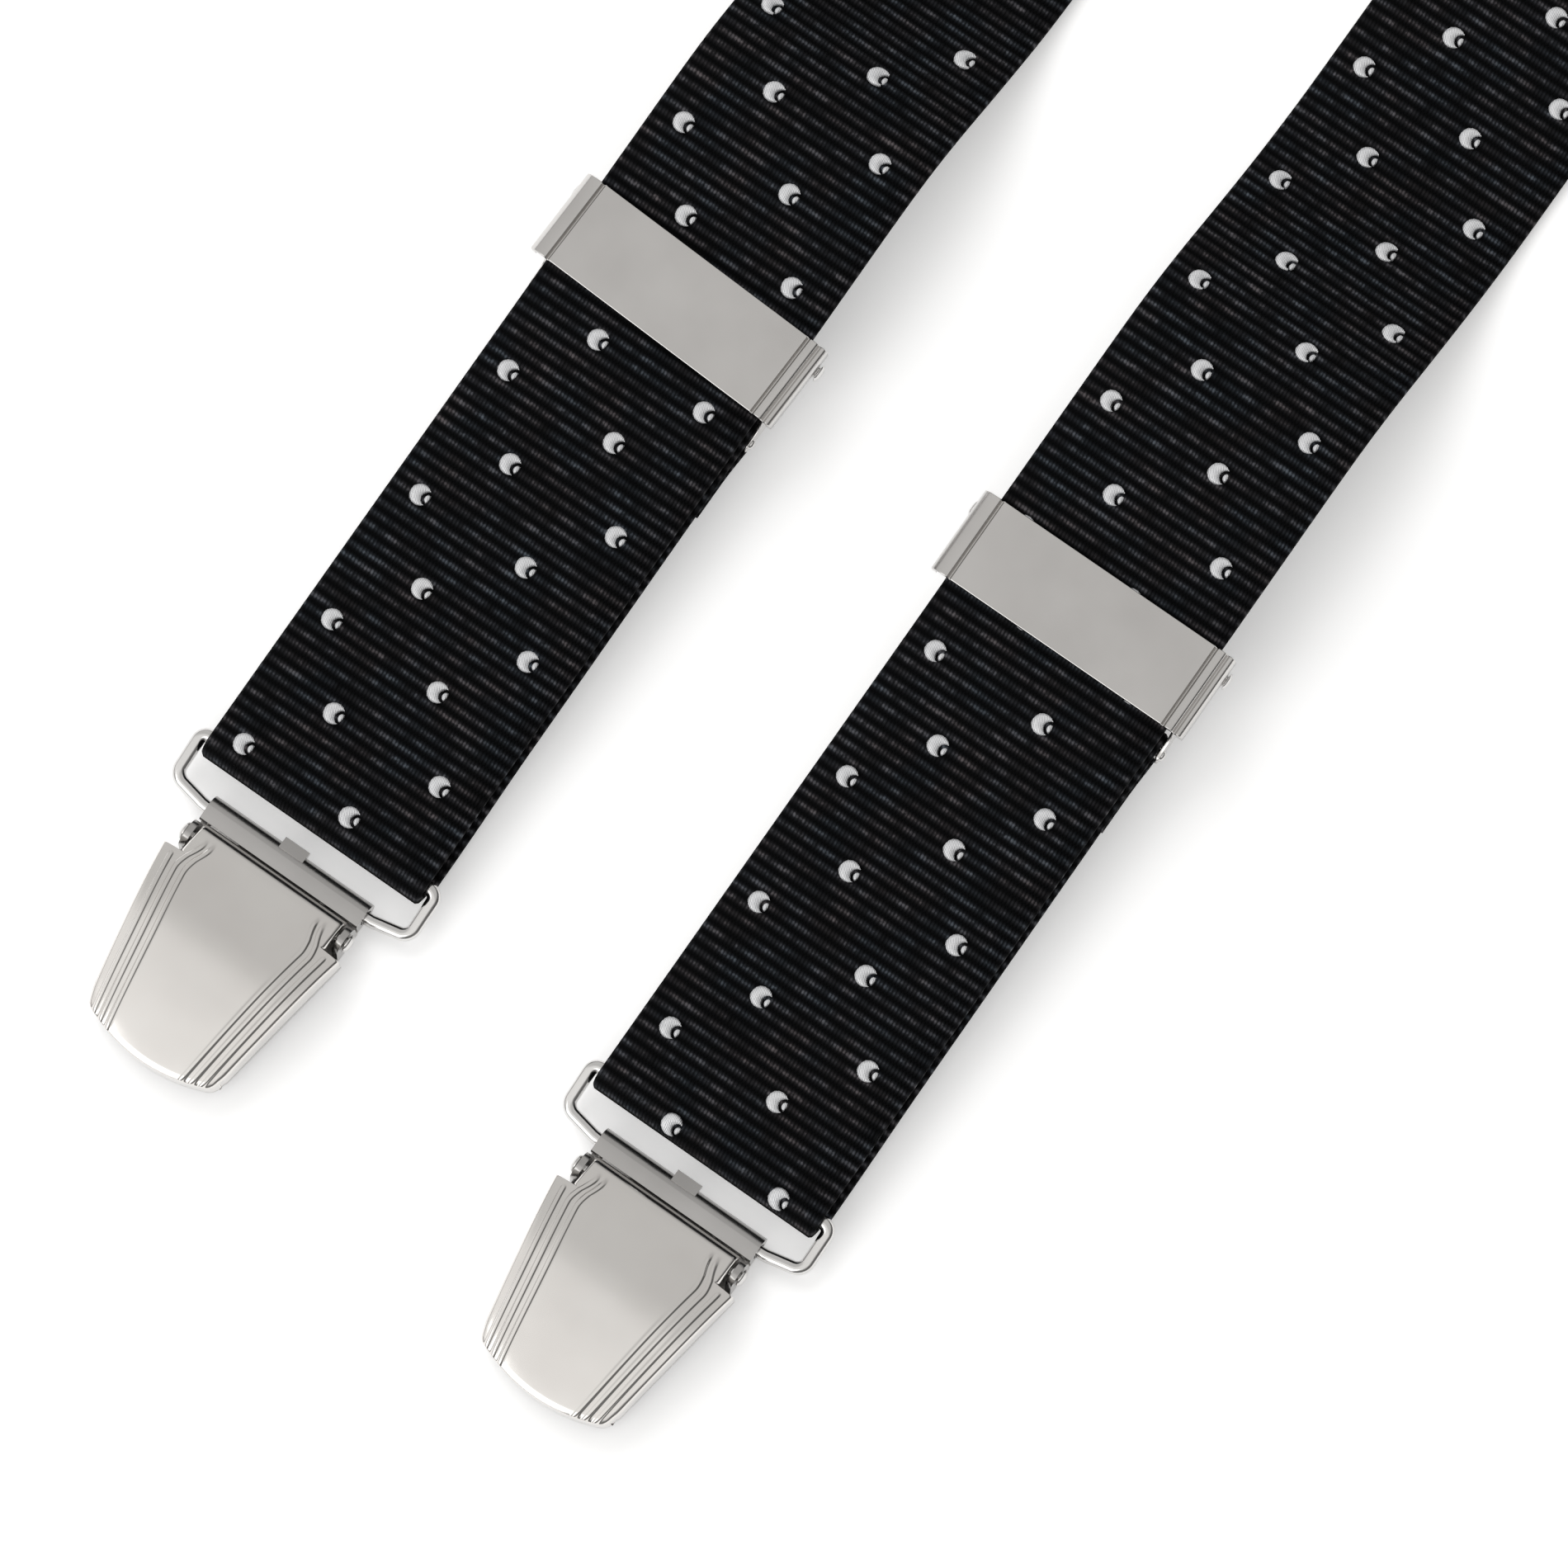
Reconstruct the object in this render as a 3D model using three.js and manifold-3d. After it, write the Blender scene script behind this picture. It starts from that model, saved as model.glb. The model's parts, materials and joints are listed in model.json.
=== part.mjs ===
// A pair of clip-on suspenders, laid out flat on a table with both clips of the
// front straps at the -Y end and the rear clip at the +Y end.
//
// Millimetres, +X to the wearer's left-hand strap's far side, +Y from the front
// clips to the rear clip, +Z up off the table.  The origin is the centre of the
// whole layout's footprint, on the table.
//
// Every function below builds one kind of piece in a simple local frame, and the
// last section puts the pieces where they belong.

import * as THREE from 'three';
import { mergeVertices } from 'three/addons/utils/BufferGeometryUtils.js';
import Module from 'manifold-3d';

const wasm = await Module();
wasm.setup();

// ---------------------------------------------------------------- webbing

const WEB_WIDTH = 35;            // ribbed webbing, the common 35 mm width
const WEB_THICK = 1.5;           // thickness of the webbing
const STRAP_SPACING = 67;        // between the centre lines of the front straps
const STRAP_SLOPE = 0.062;       // rise of the strap from the clip to the adjuster
const STRAIGHT_TO = 230;         // the front straps run parallel up to here
const PATCH_ANGLE = 12;          // degrees, front strap against Y at the patch
const FRONT_END_X = 18.6;        // centre of a front strap's end, inside the patch
const FRONT_END_Y = 722;         // where the front straps end inside the patch
const TABLE_GAP = 0.2;           // webbing lies this far clear of z = 0
const LYING_Z = TABLE_GAP + WEB_THICK / 2;

// ---------------------------------------------------------------- clip

const WIRE_R = 0.95;             // wire of the loop
const WIRE_SLACK = 0.3;          // webbing to wire, all round the bar
const WIRE_HALF = 18.75;         // loop, centre of wire, half width
const BAR_Z = 4.0;               // height of the bar that the webbing turns round
const TURN_R = WIRE_R + WIRE_SLACK + WEB_THICK / 2;    // middle of the webbing
const BAR_Y = TURN_R + WEB_THICK / 2;                  // webbing's end is y = 0
const HINGE_Y = -4.9;            // wire's lower run, inside the base's fold
const HINGE_Z = 1.95;
const PIN_Y = -9.2;              // pin of the cover and the jaw
const PIN_Z = 4.0;
const PIN_R = 0.7;
const PIN_HOLE_R = 0.85;
const BASE_THICK = 0.9;
const BASE_HALF = 12.6;          // base plate at its fold, half width
const EAR_IN = 11.8;             // ears that carry the pin
const EAR_OUT = 12.7;
const NECK_HALF = 11.4;          // cover's neck, between the ears
const SHOULDER_HALF = 14.0;      // cover at its shoulders
const TIP_HALF = 10.25;          // cover at its tip
const COVER_THICK = 0.6;
const SHOULDER_Y = -12.0;
const TIP_Y = -34.8;             // corners of the cover's tip
const TIP_BULGE = 2.4;           // how far the middle of the tip runs past them
const FLANGE_Z = 2.9;            // lower edge of the cover's sides at its shoulders
const TIP_Z = 1.9;               // lower edge of its turned-down tip
const JAW_HALF = 8.0;
const PAD_HALF = 7.6;

// ---------------------------------------------------------------- adjuster

const ADJ_HALF = 19.8;           // adjuster, half width
const ADJ_HALF_LENGTH = 6.2;     // along the strap
const ADJ_WALL = 1.0;            // thickness of its side walls
const ADJ_TOP = 2.0;             // front face above the middle of the webbing
const ADJ_UNDER = 1.05;          // underside of the front plate
const ADJ_PIN_A = 3.6;           // gripper's pin, along and below the webbing
const ADJ_PIN_B = -2.9;
const ADJ_BAR_A = -9.0;          // bar that the end of the webbing is sewn round
const ADJ_BAR_B = -3.9;
const ADJ_ROD_R = 0.8;
const ADJ_HOLE_R = 0.95;
const TAB_LENGTH = 13.5;         // webbing folded back and sewn past the bar

// ---------------------------------------------------------------- rear and patch

const REAR_TURN_Y = 985;         // the rear strap's end, where it turns its wire
const REAR_START_Y = 727;        // the rear strap's other end, inside the patch
const REAR_FOLD = 38;            // sewn fold under the rear strap
const LEATHER = 1.3;             // thickness of each leather layer

// Each front strap: x of its centre line, y of its lower end, distance from there
// to the middle of the adjuster, and where its wave above the adjuster crests.
const SIDES = {
  left: { x: -STRAP_SPACING / 2, y: 0, adjuster: 83.7, crest: 112 },
  right: { x: STRAP_SPACING / 2, y: -6.3, adjuster: 86.0, crest: 122 },
};

// ================================================================ solids

// A closed BufferGeometry as a manifold solid, for joining and cutting.
function solid(geometry) {
  const bare = geometry.clone();
  bare.deleteAttribute('normal');
  bare.deleteAttribute('uv');
  const welded = mergeVertices(bare, 1e-4);
  const mesh = new wasm.Mesh({
    numProp: 3,
    vertProperties: new Float32Array(welded.attributes.position.array),
    triVerts: new Uint32Array(welded.index.array),
  });
  mesh.merge();
  return new wasm.Manifold(mesh);
}

// A manifold solid back as a BufferGeometry.
function geometryOf(body) {
  const mesh = body.getMesh();
  const geometry = new THREE.BufferGeometry();
  const positions = new Float32Array(mesh.vertProperties);
  geometry.setAttribute('position', new THREE.BufferAttribute(positions, 3));
  geometry.setIndex(new THREE.BufferAttribute(new Uint32Array(mesh.triVerts), 1));
  return geometry;
}

function union(...geometries) {
  let body = solid(geometries[0]);
  for (const geometry of geometries.slice(1)) body = body.add(solid(geometry));
  return geometryOf(body);
}

function cut(geometry, ...tools) {
  let body = solid(geometry);
  for (const tool of tools) body = body.subtract(solid(tool));
  return geometryOf(body);
}

function common(a, b) {
  return geometryOf(solid(a).intersect(solid(b)));
}

function outline(points) {
  return new THREE.Shape(points.map(([a, b]) => new THREE.Vector2(a, b)));
}

function arc(cx, cy, radius, fromDeg, toDeg, steps) {
  const points = [];
  for (let i = 0; i <= steps; i += 1) {
    const t = THREE.MathUtils.degToRad(fromDeg + ((toDeg - fromDeg) * i) / steps);
    points.push([cx + radius * Math.cos(t), cy + radius * Math.sin(t)]);
  }
  return points;
}

function circle(cx, cy, radius, steps = 24) {
  return arc(cx, cy, radius, 0, 360 - 360 / steps, steps - 1);
}

function extrude(shape, depth) {
  return new THREE.ExtrudeGeometry(shape, { depth, bevelEnabled: false, steps: 1 });
}

// An outline drawn in (y, z), swept from x0 to x1.
function prismX(shape, x0, x1) {
  const turn = new THREE.Matrix4().set(0, 0, 1, x0, 1, 0, 0, 0, 0, 1, 0, 0, 0, 0, 0, 1);
  return extrude(shape, x1 - x0).applyMatrix4(turn);
}

// An outline drawn in (x, z), swept from y0 to y1.
function prismY(shape, y0, y1) {
  const turn = new THREE.Matrix4().set(1, 0, 0, 0, 0, 0, -1, y1, 0, 1, 0, 0, 0, 0, 0, 1);
  return extrude(shape, y1 - y0).applyMatrix4(turn);
}

// An outline drawn in (x, y), swept from z0 to z1.
function prismZ(shape, z0, z1) {
  return extrude(shape, z1 - z0).translate(0, 0, z0);
}

function ringX(y, z, outer, inner, x0, x1, steps = 18) {
  const shape = outline(circle(y, z, outer, steps));
  shape.holes.push(new THREE.Path(circle(y, z, inner, steps).map(([a, b]) => new THREE.Vector2(a, b))));
  return prismX(shape, x0, x1);
}

function rodX(y, z, radius, x0, x1, steps = 18) {
  return prismX(outline(circle(y, z, radius, steps)), x0, x1);
}

// A pin along X with a low domed head at each end.
function headedPin(y, z, radius, headRadius, half, headHeight) {
  const head = [
    [headRadius, half],
    [headRadius * 0.92, half + headHeight * 0.5],
    [headRadius * 0.6, half + headHeight * 0.88],
    [0, half + headHeight],
  ];
  const upper = [[radius, half], ...head];
  const lower = upper.map(([r, h]) => [r, -h]).reverse();
  const profile = [...lower, ...upper].map(([r, h]) => new THREE.Vector2(r, h));
  const geometry = new THREE.LatheGeometry(profile, 16);
  return geometry.rotateZ(-Math.PI / 2).translate(0, y, z);
}

// A closed sheet: rows of top points over rows of bottom points.
function sheetSolid(top, bottom) {
  const rows = top.length;
  const columns = top[0].length;
  const positions = [];
  for (const grid of [top, bottom]) {
    for (const row of grid) {
      for (const point of row) positions.push(point.x, point.y, point.z);
    }
  }
  const at = (layer, i, j) => layer * rows * columns + i * columns + j;
  const index = [];
  const quad = (a, b, c, d) => index.push(a, b, c, a, c, d);
  for (let i = 0; i + 1 < rows; i += 1) {
    for (let j = 0; j + 1 < columns; j += 1) {
      quad(at(0, i, j), at(0, i, j + 1), at(0, i + 1, j + 1), at(0, i + 1, j));
      quad(at(1, i, j), at(1, i + 1, j), at(1, i + 1, j + 1), at(1, i, j + 1));
    }
  }
  const last = columns - 1;
  for (let i = 0; i + 1 < rows; i += 1) {
    quad(at(0, i, 0), at(0, i + 1, 0), at(1, i + 1, 0), at(1, i, 0));
    quad(at(0, i + 1, last), at(0, i, last), at(1, i, last), at(1, i + 1, last));
  }
  const end = rows - 1;
  for (let j = 0; j + 1 < columns; j += 1) {
    quad(at(0, 0, j + 1), at(0, 0, j), at(1, 0, j), at(1, 0, j + 1));
    quad(at(0, end, j), at(0, end, j + 1), at(1, end, j + 1), at(1, end, j));
  }
  const geometry = new THREE.BufferGeometry();
  geometry.setAttribute('position', new THREE.Float32BufferAttribute(positions, 3));
  geometry.setIndex(index);
  return geometry;
}

// Flat webbing along a line of points: it stays level across its width.
function webbing(line) {
  const top = [];
  const bottom = [];
  for (let i = 0; i < line.length; i += 1) {
    const before = line[Math.max(0, i - 1)];
    const after = line[Math.min(line.length - 1, i + 1)];
    const tangent = after.clone().sub(before).normalize();
    const side = line.side ? line.side(i) : new THREE.Vector3(1, 0, 0);
    const up = new THREE.Vector3().crossVectors(side, tangent).normalize();
    const across = new THREE.Vector3().crossVectors(tangent, up);
    const make = (lift) => [-WEB_WIDTH / 2, WEB_WIDTH / 2].map((reach) => line[i].clone()
      .addScaledVector(across, reach)
      .addScaledVector(up, lift));
    top.push(make(WEB_THICK / 2));
    bottom.push(make(-WEB_THICK / 2));
  }
  return sheetSolid(top, bottom);
}

// A smooth curve through knots of [position, value, slope].
function hermite(knots, at) {
  let i = 0;
  while (i + 2 < knots.length && at > knots[i + 1][0]) i += 1;
  const [x0, v0, m0] = knots[i];
  const [x1, v1, m1] = knots[i + 1];
  const h = x1 - x0;
  const t = (at - x0) / h;
  const t2 = t * t;
  const t3 = t2 * t;
  return v0 * (2 * t3 - 3 * t2 + 1) + m0 * h * (t3 - 2 * t2 + t)
    + v1 * (3 * t2 - 2 * t3) + m1 * h * (t3 - t2);
}

function spread(from, to, step) {
  const count = Math.max(1, Math.round((to - from) / step));
  return Array.from({ length: count + 1 }, (_, i) => from + ((to - from) * i) / count);
}

function vector(x, y, z) {
  return new THREE.Vector3(x, y, z);
}

// ================================================================ straps

// Height of the middle of a front strap, y from its own lower end.
function strapHeight(side, y) {
  const start = BAR_Z + TURN_R;
  const crest = side.crest;
  const bend = crest - 12;
  if (y <= bend) return start + STRAP_SLOPE * (y - BAR_Y);
  const high = start + STRAP_SLOPE * (bend - BAR_Y);
  const patchZ = LEATHER + 0.3 + WEB_THICK / 2;
  const knots = [
    [bend, high, STRAP_SLOPE],
    [crest + 2, high + 0.25, -0.1],
    [crest + 13, high - 3.0, -0.46],
    [crest + 27, high - 8.9, -0.34],
    [crest + 40, LYING_Z + 0.15, -0.06],
    [crest + 50, LYING_Z, 0],
    [FRONT_END_Y - side.y - 90, LYING_Z, 0],
    [FRONT_END_Y - side.y - 42, patchZ, 0],
    [FRONT_END_Y - side.y + 1, patchZ, 0],
  ];
  return hermite(knots, y);
}

// Plan of a front strap: straight, then bowed out a little and in to the patch.
function strapPlan(side) {
  const sign = Math.sign(side.x);
  const angle = THREE.MathUtils.degToRad(PATCH_ANGLE);
  const end = new THREE.Vector2(sign * FRONT_END_X, FRONT_END_Y);
  const reach = 180;
  return new THREE.CubicBezierCurve(
    new THREE.Vector2(side.x, STRAIGHT_TO),
    new THREE.Vector2(side.x, STRAIGHT_TO + 190),
    new THREE.Vector2(end.x + sign * reach * Math.sin(angle), end.y - reach * Math.cos(angle)),
    end,
  );
}

// The webbing's turn round a bar, from its lower layer over its -Y side to its top.
function turnPoints(x, y, z, fromDeg, toDeg, steps) {
  return arc(y, z, TURN_R, fromDeg, toDeg, steps).map(([a, b]) => vector(x, a, b));
}

function mainStrap(side) {
  const line = turnPoints(side.x, side.y + BAR_Y, BAR_Z, 270, 90, 14);
  const straight = [
    ...spread(16, side.crest - 12, 26),
    ...spread(side.crest - 8, side.crest + 50, 4.5),
    ...spread(side.crest + 74, STRAIGHT_TO - side.y - 12, 24),
  ];
  for (const y of straight) line.push(vector(side.x, side.y + y, strapHeight(side, y)));
  const plan = strapPlan(side);
  const sides = line.map(() => vector(1, 0, 0));
  for (const t of spread(0, 1, 1 / 26)) {
    const point = plan.getPoint(t);
    const tangent = plan.getTangent(t);
    line.push(vector(point.x, point.y, strapHeight(side, point.y - side.y)));
    sides.push(vector(tangent.y, -tangent.x, 0));
  }
  line.side = (i) => sides[i];
  return webbing(line);
}

// Lower layer of a front strap: from the clip's wire back up to the adjuster's bar,
// round it and back under itself as a sewn tab.
function returnStrap(side) {
  const bar = adjusterPoint(side, ADJ_BAR_A, ADJ_BAR_B);
  const x = side.x;
  const top = bar.z + TURN_R;
  const knots = [
    [BAR_Y, BAR_Z - TURN_R, 0],
    [26, strapHeight(side, 26) - 2.5, STRAP_SLOPE],
    [bar.y - side.y - 12, top - 12 * STRAP_SLOPE, STRAP_SLOPE],
    [bar.y - side.y, top, STRAP_SLOPE],
  ];
  const line = [];
  for (const y of [...spread(BAR_Y + 0.3, 26, 3.3), ...spread(36, bar.y - side.y - 2, 9)]) {
    line.push(vector(x, side.y + y, hermite(knots, y)));
  }
  line.push(...turnPoints(x, bar.y, bar.z, 90, -90, 14));
  const tab = [
    [bar.y - TAB_LENGTH, top - TAB_LENGTH * STRAP_SLOPE - WEB_THICK - 0.3, STRAP_SLOPE],
    [bar.y - 7, top - 7 * STRAP_SLOPE - WEB_THICK - 0.4, 0],
    [bar.y, bar.z - TURN_R, 0],
  ];
  for (const y of spread(1.5, TAB_LENGTH, 2)) {
    line.push(vector(x, bar.y - y, hermite(tab, bar.y - y)));
  }
  return webbing(line);
}

// Rear strap: out of the patch, along the table, round the rear clip's wire and
// folded back under itself.
function rearStrap() {
  const barY = REAR_TURN_Y - BAR_Y;
  const patchZ = LEATHER + 0.3 + WEB_THICK / 2;
  const rise = [
    [REAR_START_Y, patchZ, 0],
    [REAR_START_Y + 52, patchZ, 0],
    [REAR_START_Y + 92, LYING_Z, 0],
    [barY - 75, LYING_Z, 0],
    [barY - 20, BAR_Z + TURN_R - 0.35, 0.03],
    [barY, BAR_Z + TURN_R, 0],
  ];
  const line = [];
  const stations = [
    ...spread(REAR_START_Y, REAR_START_Y + 52, 52),
    ...spread(REAR_START_Y + 60, REAR_START_Y + 92, 8),
    ...spread(REAR_START_Y + 115, barY - 75, 25),
    ...spread(barY - 68, barY - 3, 6.5),
  ];
  for (const y of stations) line.push(vector(0, y, hermite(rise, y)));
  line.push(...turnPoints(0, barY, BAR_Z, 90, -90, 14));
  for (const y of spread(3, REAR_FOLD, 5)) {
    const near = BAR_Z - TURN_R;
    const above = hermite(rise, barY - y);
    const closing = above - WEB_THICK - 0.35;
    const blend = THREE.MathUtils.smoothstep(y, 0, 16);
    line.push(vector(0, barY - y, near * (1 - blend) + Math.max(closing, LYING_Z) * blend));
  }
  return webbing(line);
}

// ================================================================ leather patch

function patchLayer(z0, z1) {
  const shape = new THREE.Shape();
  shape.moveTo(0, 706);
  shape.quadraticCurveTo(3, 705, 5, 699);
  shape.lineTo(7, 690);
  shape.quadraticCurveTo(8, 686.5, 12, 687);
  shape.lineTo(43, 693.5);
  shape.quadraticCurveTo(48, 694.5, 47.4, 699);
  shape.lineTo(45.5, 708);
  shape.quadraticCurveTo(41, 727, 29, 741);
  shape.quadraticCurveTo(22.5, 749, 22, 762);
  shape.lineTo(22, 770);
  shape.quadraticCurveTo(22, 775, 17, 775);
  shape.lineTo(0, 775);
  const half = shape.getPoints(6);
  const mirrored = half.slice(1, -1).reverse().map((point) => new THREE.Vector2(-point.x, point.y));
  return prismZ(new THREE.Shape([...half, ...mirrored]), z0, z1);
}

// ================================================================ clip

// The wire loop: its bar lies inside the webbing's turn and its lower run inside the
// base's fold, where the two ends of the wire meet.
function wireLoop() {
  const slope = Math.atan2(BAR_Z - HINGE_Z, BAR_Y - HINGE_Y);
  const length = Math.hypot(BAR_Z - HINGE_Z, BAR_Y - HINGE_Y);
  const corner = 1.25;
  const side = WIRE_HALF;
  const right = [
    [0.15, 0],
    [BASE_HALF + 0.3, 0],
    [BASE_HALF + 1.0, 0.07],
    ...arc(side - 1.8, 2.6, 1.8, -82, 0, 5),
    ...arc(side - corner, length - corner, corner, 0, 90, 4),
  ];
  const left = right.map(([x, q]) => [-x, q]).reverse();
  const points = [...right, ...left].map(([x, q]) => vector(
    x,
    HINGE_Y + q * Math.cos(slope),
    HINGE_Z + q * Math.sin(slope),
  ));
  return sweepRound(points, WIRE_R, 10);
}

// A round rod through points, mitred at each of them.
function sweepRound(points, radius, steps) {
  const rings = [];
  const planeNormal = points[1].clone().sub(points[0])
    .cross(points[Math.floor(points.length / 3)].clone().sub(points[0]))
    .normalize();
  for (let i = 0; i < points.length; i += 1) {
    const back = points[i].clone().sub(points[Math.max(0, i - 1)]).normalize();
    const ahead = points[Math.min(points.length - 1, i + 1)].clone().sub(points[i]).normalize();
    if (i === 0) back.copy(ahead);
    if (i === points.length - 1) ahead.copy(back);
    const tangent = back.clone().add(ahead).normalize();
    const stretch = 1 / Math.max(0.5, tangent.dot(ahead));
    const out = new THREE.Vector3().crossVectors(tangent, planeNormal);
    const ring = [];
    for (let k = 0; k < steps; k += 1) {
      const t = (2 * Math.PI * k) / steps;
      ring.push(points[i].clone()
        .addScaledVector(out, radius * stretch * Math.cos(t))
        .addScaledVector(planeNormal, radius * Math.sin(t)));
    }
    rings.push(ring);
  }
  const positions = rings.flat().flatMap((point) => [point.x, point.y, point.z]);
  const index = [];
  for (let i = 0; i + 1 < rings.length; i += 1) {
    for (let k = 0; k < steps; k += 1) {
      const a = i * steps + k;
      const b = i * steps + ((k + 1) % steps);
      index.push(a, a + steps, b + steps, a, b + steps, b);
    }
  }
  const first = positions.length / 3;
  positions.push(...points[0].toArray(), ...points[points.length - 1].toArray());
  const tail = (rings.length - 1) * steps;
  for (let k = 0; k < steps; k += 1) {
    index.push(first, k, (k + 1) % steps);
    index.push(first + 1, tail + ((k + 1) % steps), tail + k);
  }
  const geometry = new THREE.BufferGeometry();
  geometry.setAttribute('position', new THREE.Float32BufferAttribute(positions, 3));
  geometry.setIndex(index);
  return geometry;
}

// The base plate: a fold round the wire with a small tongue, a flat tapered floor
// and two ears that carry the pin.
function clipBase() {
  const foldOuter = [
    ...arc(HINGE_Y + 0.0, HINGE_Z, 1.95, -90, 70, 8),
    [HINGE_Y + 0.25, 3.88],
    [HINGE_Y - 1.75, 3.55],
    [HINGE_Y - 1.95, 3.3],
    [HINGE_Y - 1.95, 0.0],
  ];
  const fold = outline(foldOuter);
  const hole = circle(HINGE_Y, HINGE_Z, 1.15, 20);
  fold.holes.push(new THREE.Path(hole.map(([a, b]) => new THREE.Vector2(a, b))));
  const floor = outline([
    [-BASE_HALF, HINGE_Y - 1.5],
    [-BASE_HALF, -12.5],
    ...arc(0, -18.6, 17.6, 238, 302, 8),
    [BASE_HALF, -12.5],
    [BASE_HALF, HINGE_Y - 1.5],
  ]);
  const earShape = outline([
    [PIN_Y + 2.0, 0],
    ...arc(PIN_Y, PIN_Z, 2.0, 0, 180, 12),
    [PIN_Y - 2.4, 0],
  ]);
  const earHole = rodX(PIN_Y, PIN_Z, PIN_HOLE_R, -20, 20);
  const tongue = prismX(outline([
    [HINGE_Y + 1.2, 2.6],
    [HINGE_Y + 2.4, 2.5],
    [HINGE_Y + 2.7, 2.8],
    [HINGE_Y + 2.6, 3.4],
    [HINGE_Y + 1.0, 3.7],
  ]), -1.9, 1.9);
  const joined = union(
    prismX(fold, -BASE_HALF, BASE_HALF),
    prismZ(floor, 0, BASE_THICK),
    prismX(earShape, EAR_IN, EAR_OUT),
    prismX(earShape, -EAR_OUT, -EAR_IN),
    tongue,
  );
  return cut(joined, earHole);
}

// Half of the cover's cross-section at one station, from the centre line out: its
// outer face, then its inner face.  Each entry is [x, height over the profile].
function coverSection(half, ridges, lip, crown, thick) {
  const outer = [[0, crown], [half * 0.3, crown * 0.82]];
  for (const [x, height] of ridges) {
    outer.push([x - 0.62, 0], [x - 0.24, height], [x + 0.24, height]);
  }
  outer.push([half - 1.0, 0]);
  const inner = outer.map(([x, height]) => [x, Math.min(height, crown) - thick]);
  const wall = half - COVER_THICK;
  inner[inner.length - 1][0] = wall - 0.3;
  outer.push([half - 0.35, 0], [half - 0.1, -0.12], [half, -0.4], [half, -lip]);
  inner.push([wall - 0.2, -thick], [wall - 0.06, -thick - 0.04], [wall, -thick - 0.12], [wall, -lip]);
  return [outer, inner];
}

function bothHalves(section) {
  return [...section.slice(1).reverse().map(([x, h]) => [-x, h]), ...section];
}

// The cover: one pressed sheet with three raised lines along each side, its neck
// rolled into two knuckles on the pin and its tip turned down.
function clipCover() {
  const profile = [
    [PIN_Y + 0.5, 6.12], [PIN_Y - 0.7, 6.35], [PIN_Y - 1.8, 7.1],
    [SHOULDER_Y + 0.05, 7.8], [SHOULDER_Y - 0.05, 7.86], [-13.6, 8.4], [-16, 8.7],
    [-20, 8.6], [-24.5, 8.05], [-29, 7.2], [-32.5, 6.2],
    [TIP_Y + 0.3, 5.35], [TIP_Y, 4.9],
  ];
  const top = [];
  const bottom = [];
  profile.forEach(([y, z], i) => {
    const body = y < SHOULDER_Y;
    const along = THREE.MathUtils.clamp((SHOULDER_Y - y) / (SHOULDER_Y - TIP_Y), 0, 1);
    const half = body ? SHOULDER_HALF + (TIP_HALF - SHOULDER_HALF) * along : NECK_HALF;
    const shown = THREE.MathUtils.smoothstep(PIN_Y - y, -0.4, 1.4);
    const step = body ? 1.35 : 1.15;
    const first = body ? 4.35 : 3.75;
    const ridges = [0, 1, 2].map((k) => [
      half - first + k * step,
      (body || k < 2 ? 0.32 : 0) * shown,
    ]);
    const lip = body ? z - FLANGE_Z + 1.1 * along : 1.1;
    const thick = i >= profile.length - 2 ? z - TIP_Z : COVER_THICK;
    const [outer, inner] = coverSection(half, ridges, lip, 0.35 * shown, thick);
    const bulge = TIP_BULGE * THREE.MathUtils.smoothstep(along, 0.35, 1);
    const place = ([x, h]) => vector(x, y - bulge * (1 - (x / half) ** 2), z + h);
    top.push(bothHalves(outer).map(place));
    bottom.push(bothHalves(inner).map(place));
  });
  const sheet = sheetSolid(bottom, top);
  const knuckle = (x0, x1) => ringX(PIN_Y, PIN_Z, 2.2, PIN_HOLE_R, x0, x1);
  const joined = union(sheet, knuckle(7.0, NECK_HALF), knuckle(-NECK_HALF, -7.0));
  return cut(joined, rodX(PIN_Y, PIN_Z, PIN_HOLE_R, -20, 20));
}

// The inner jaw: a springy strip on the same pin whose toothed end presses the cloth
// onto the pad.
function clipJaw() {
  const strip = outline([
    [PIN_Y - 0.6, PIN_Z - 0.4],
    [-28, 3.9],
    [-32.2, 3.3],
    [-32.6, 2.85],
    [-33.4, 2.85],
    [-33.5, 3.9],
    [-28.4, 4.75],
    [PIN_Y - 0.6, PIN_Z + 0.6],
  ]);
  const barrel = ringX(PIN_Y, PIN_Z, 1.35, PIN_HOLE_R, -6.6, 6.6);
  const joined = union(prismX(strip, -JAW_HALF, JAW_HALF), barrel);
  const cutters = [rodX(PIN_Y, PIN_Z, PIN_HOLE_R, -9, 9)];
  for (const x of spread(-6, 6, 3)) {
    cutters.push(prismZ(outline([[x - 0.8, -34], [x + 0.8, -34], [x, -32.2]]), 2, 5));
  }
  for (const sign of [-1, 1]) {
    const clear = outline([[6.8, -11.8], [9, -11.8], [9, -6], [6.8, -6]]
      .map(([x, y]) => [sign * x, y]));
    cutters.push(prismZ(clear, 0, 8));
  }
  return cut(joined, ...cutters);
}

// The grip pad: a soft block with cross ridges, set on the floor of the base.
function clipPad() {
  const profile = [[-34.0, BASE_THICK + 0.1], [-25.0, BASE_THICK + 0.1], [-25.0, 1.9]];
  for (const y of spread(-25.6, -33.4, 1)) {
    profile.push([y, 2.4]);
    profile.push([y - 0.35, 2.05]);
  }
  profile.push([-34.0, 2.2]);
  return prismX(outline(profile), -PAD_HALF, PAD_HALF);
}

// ================================================================ adjuster

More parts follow.
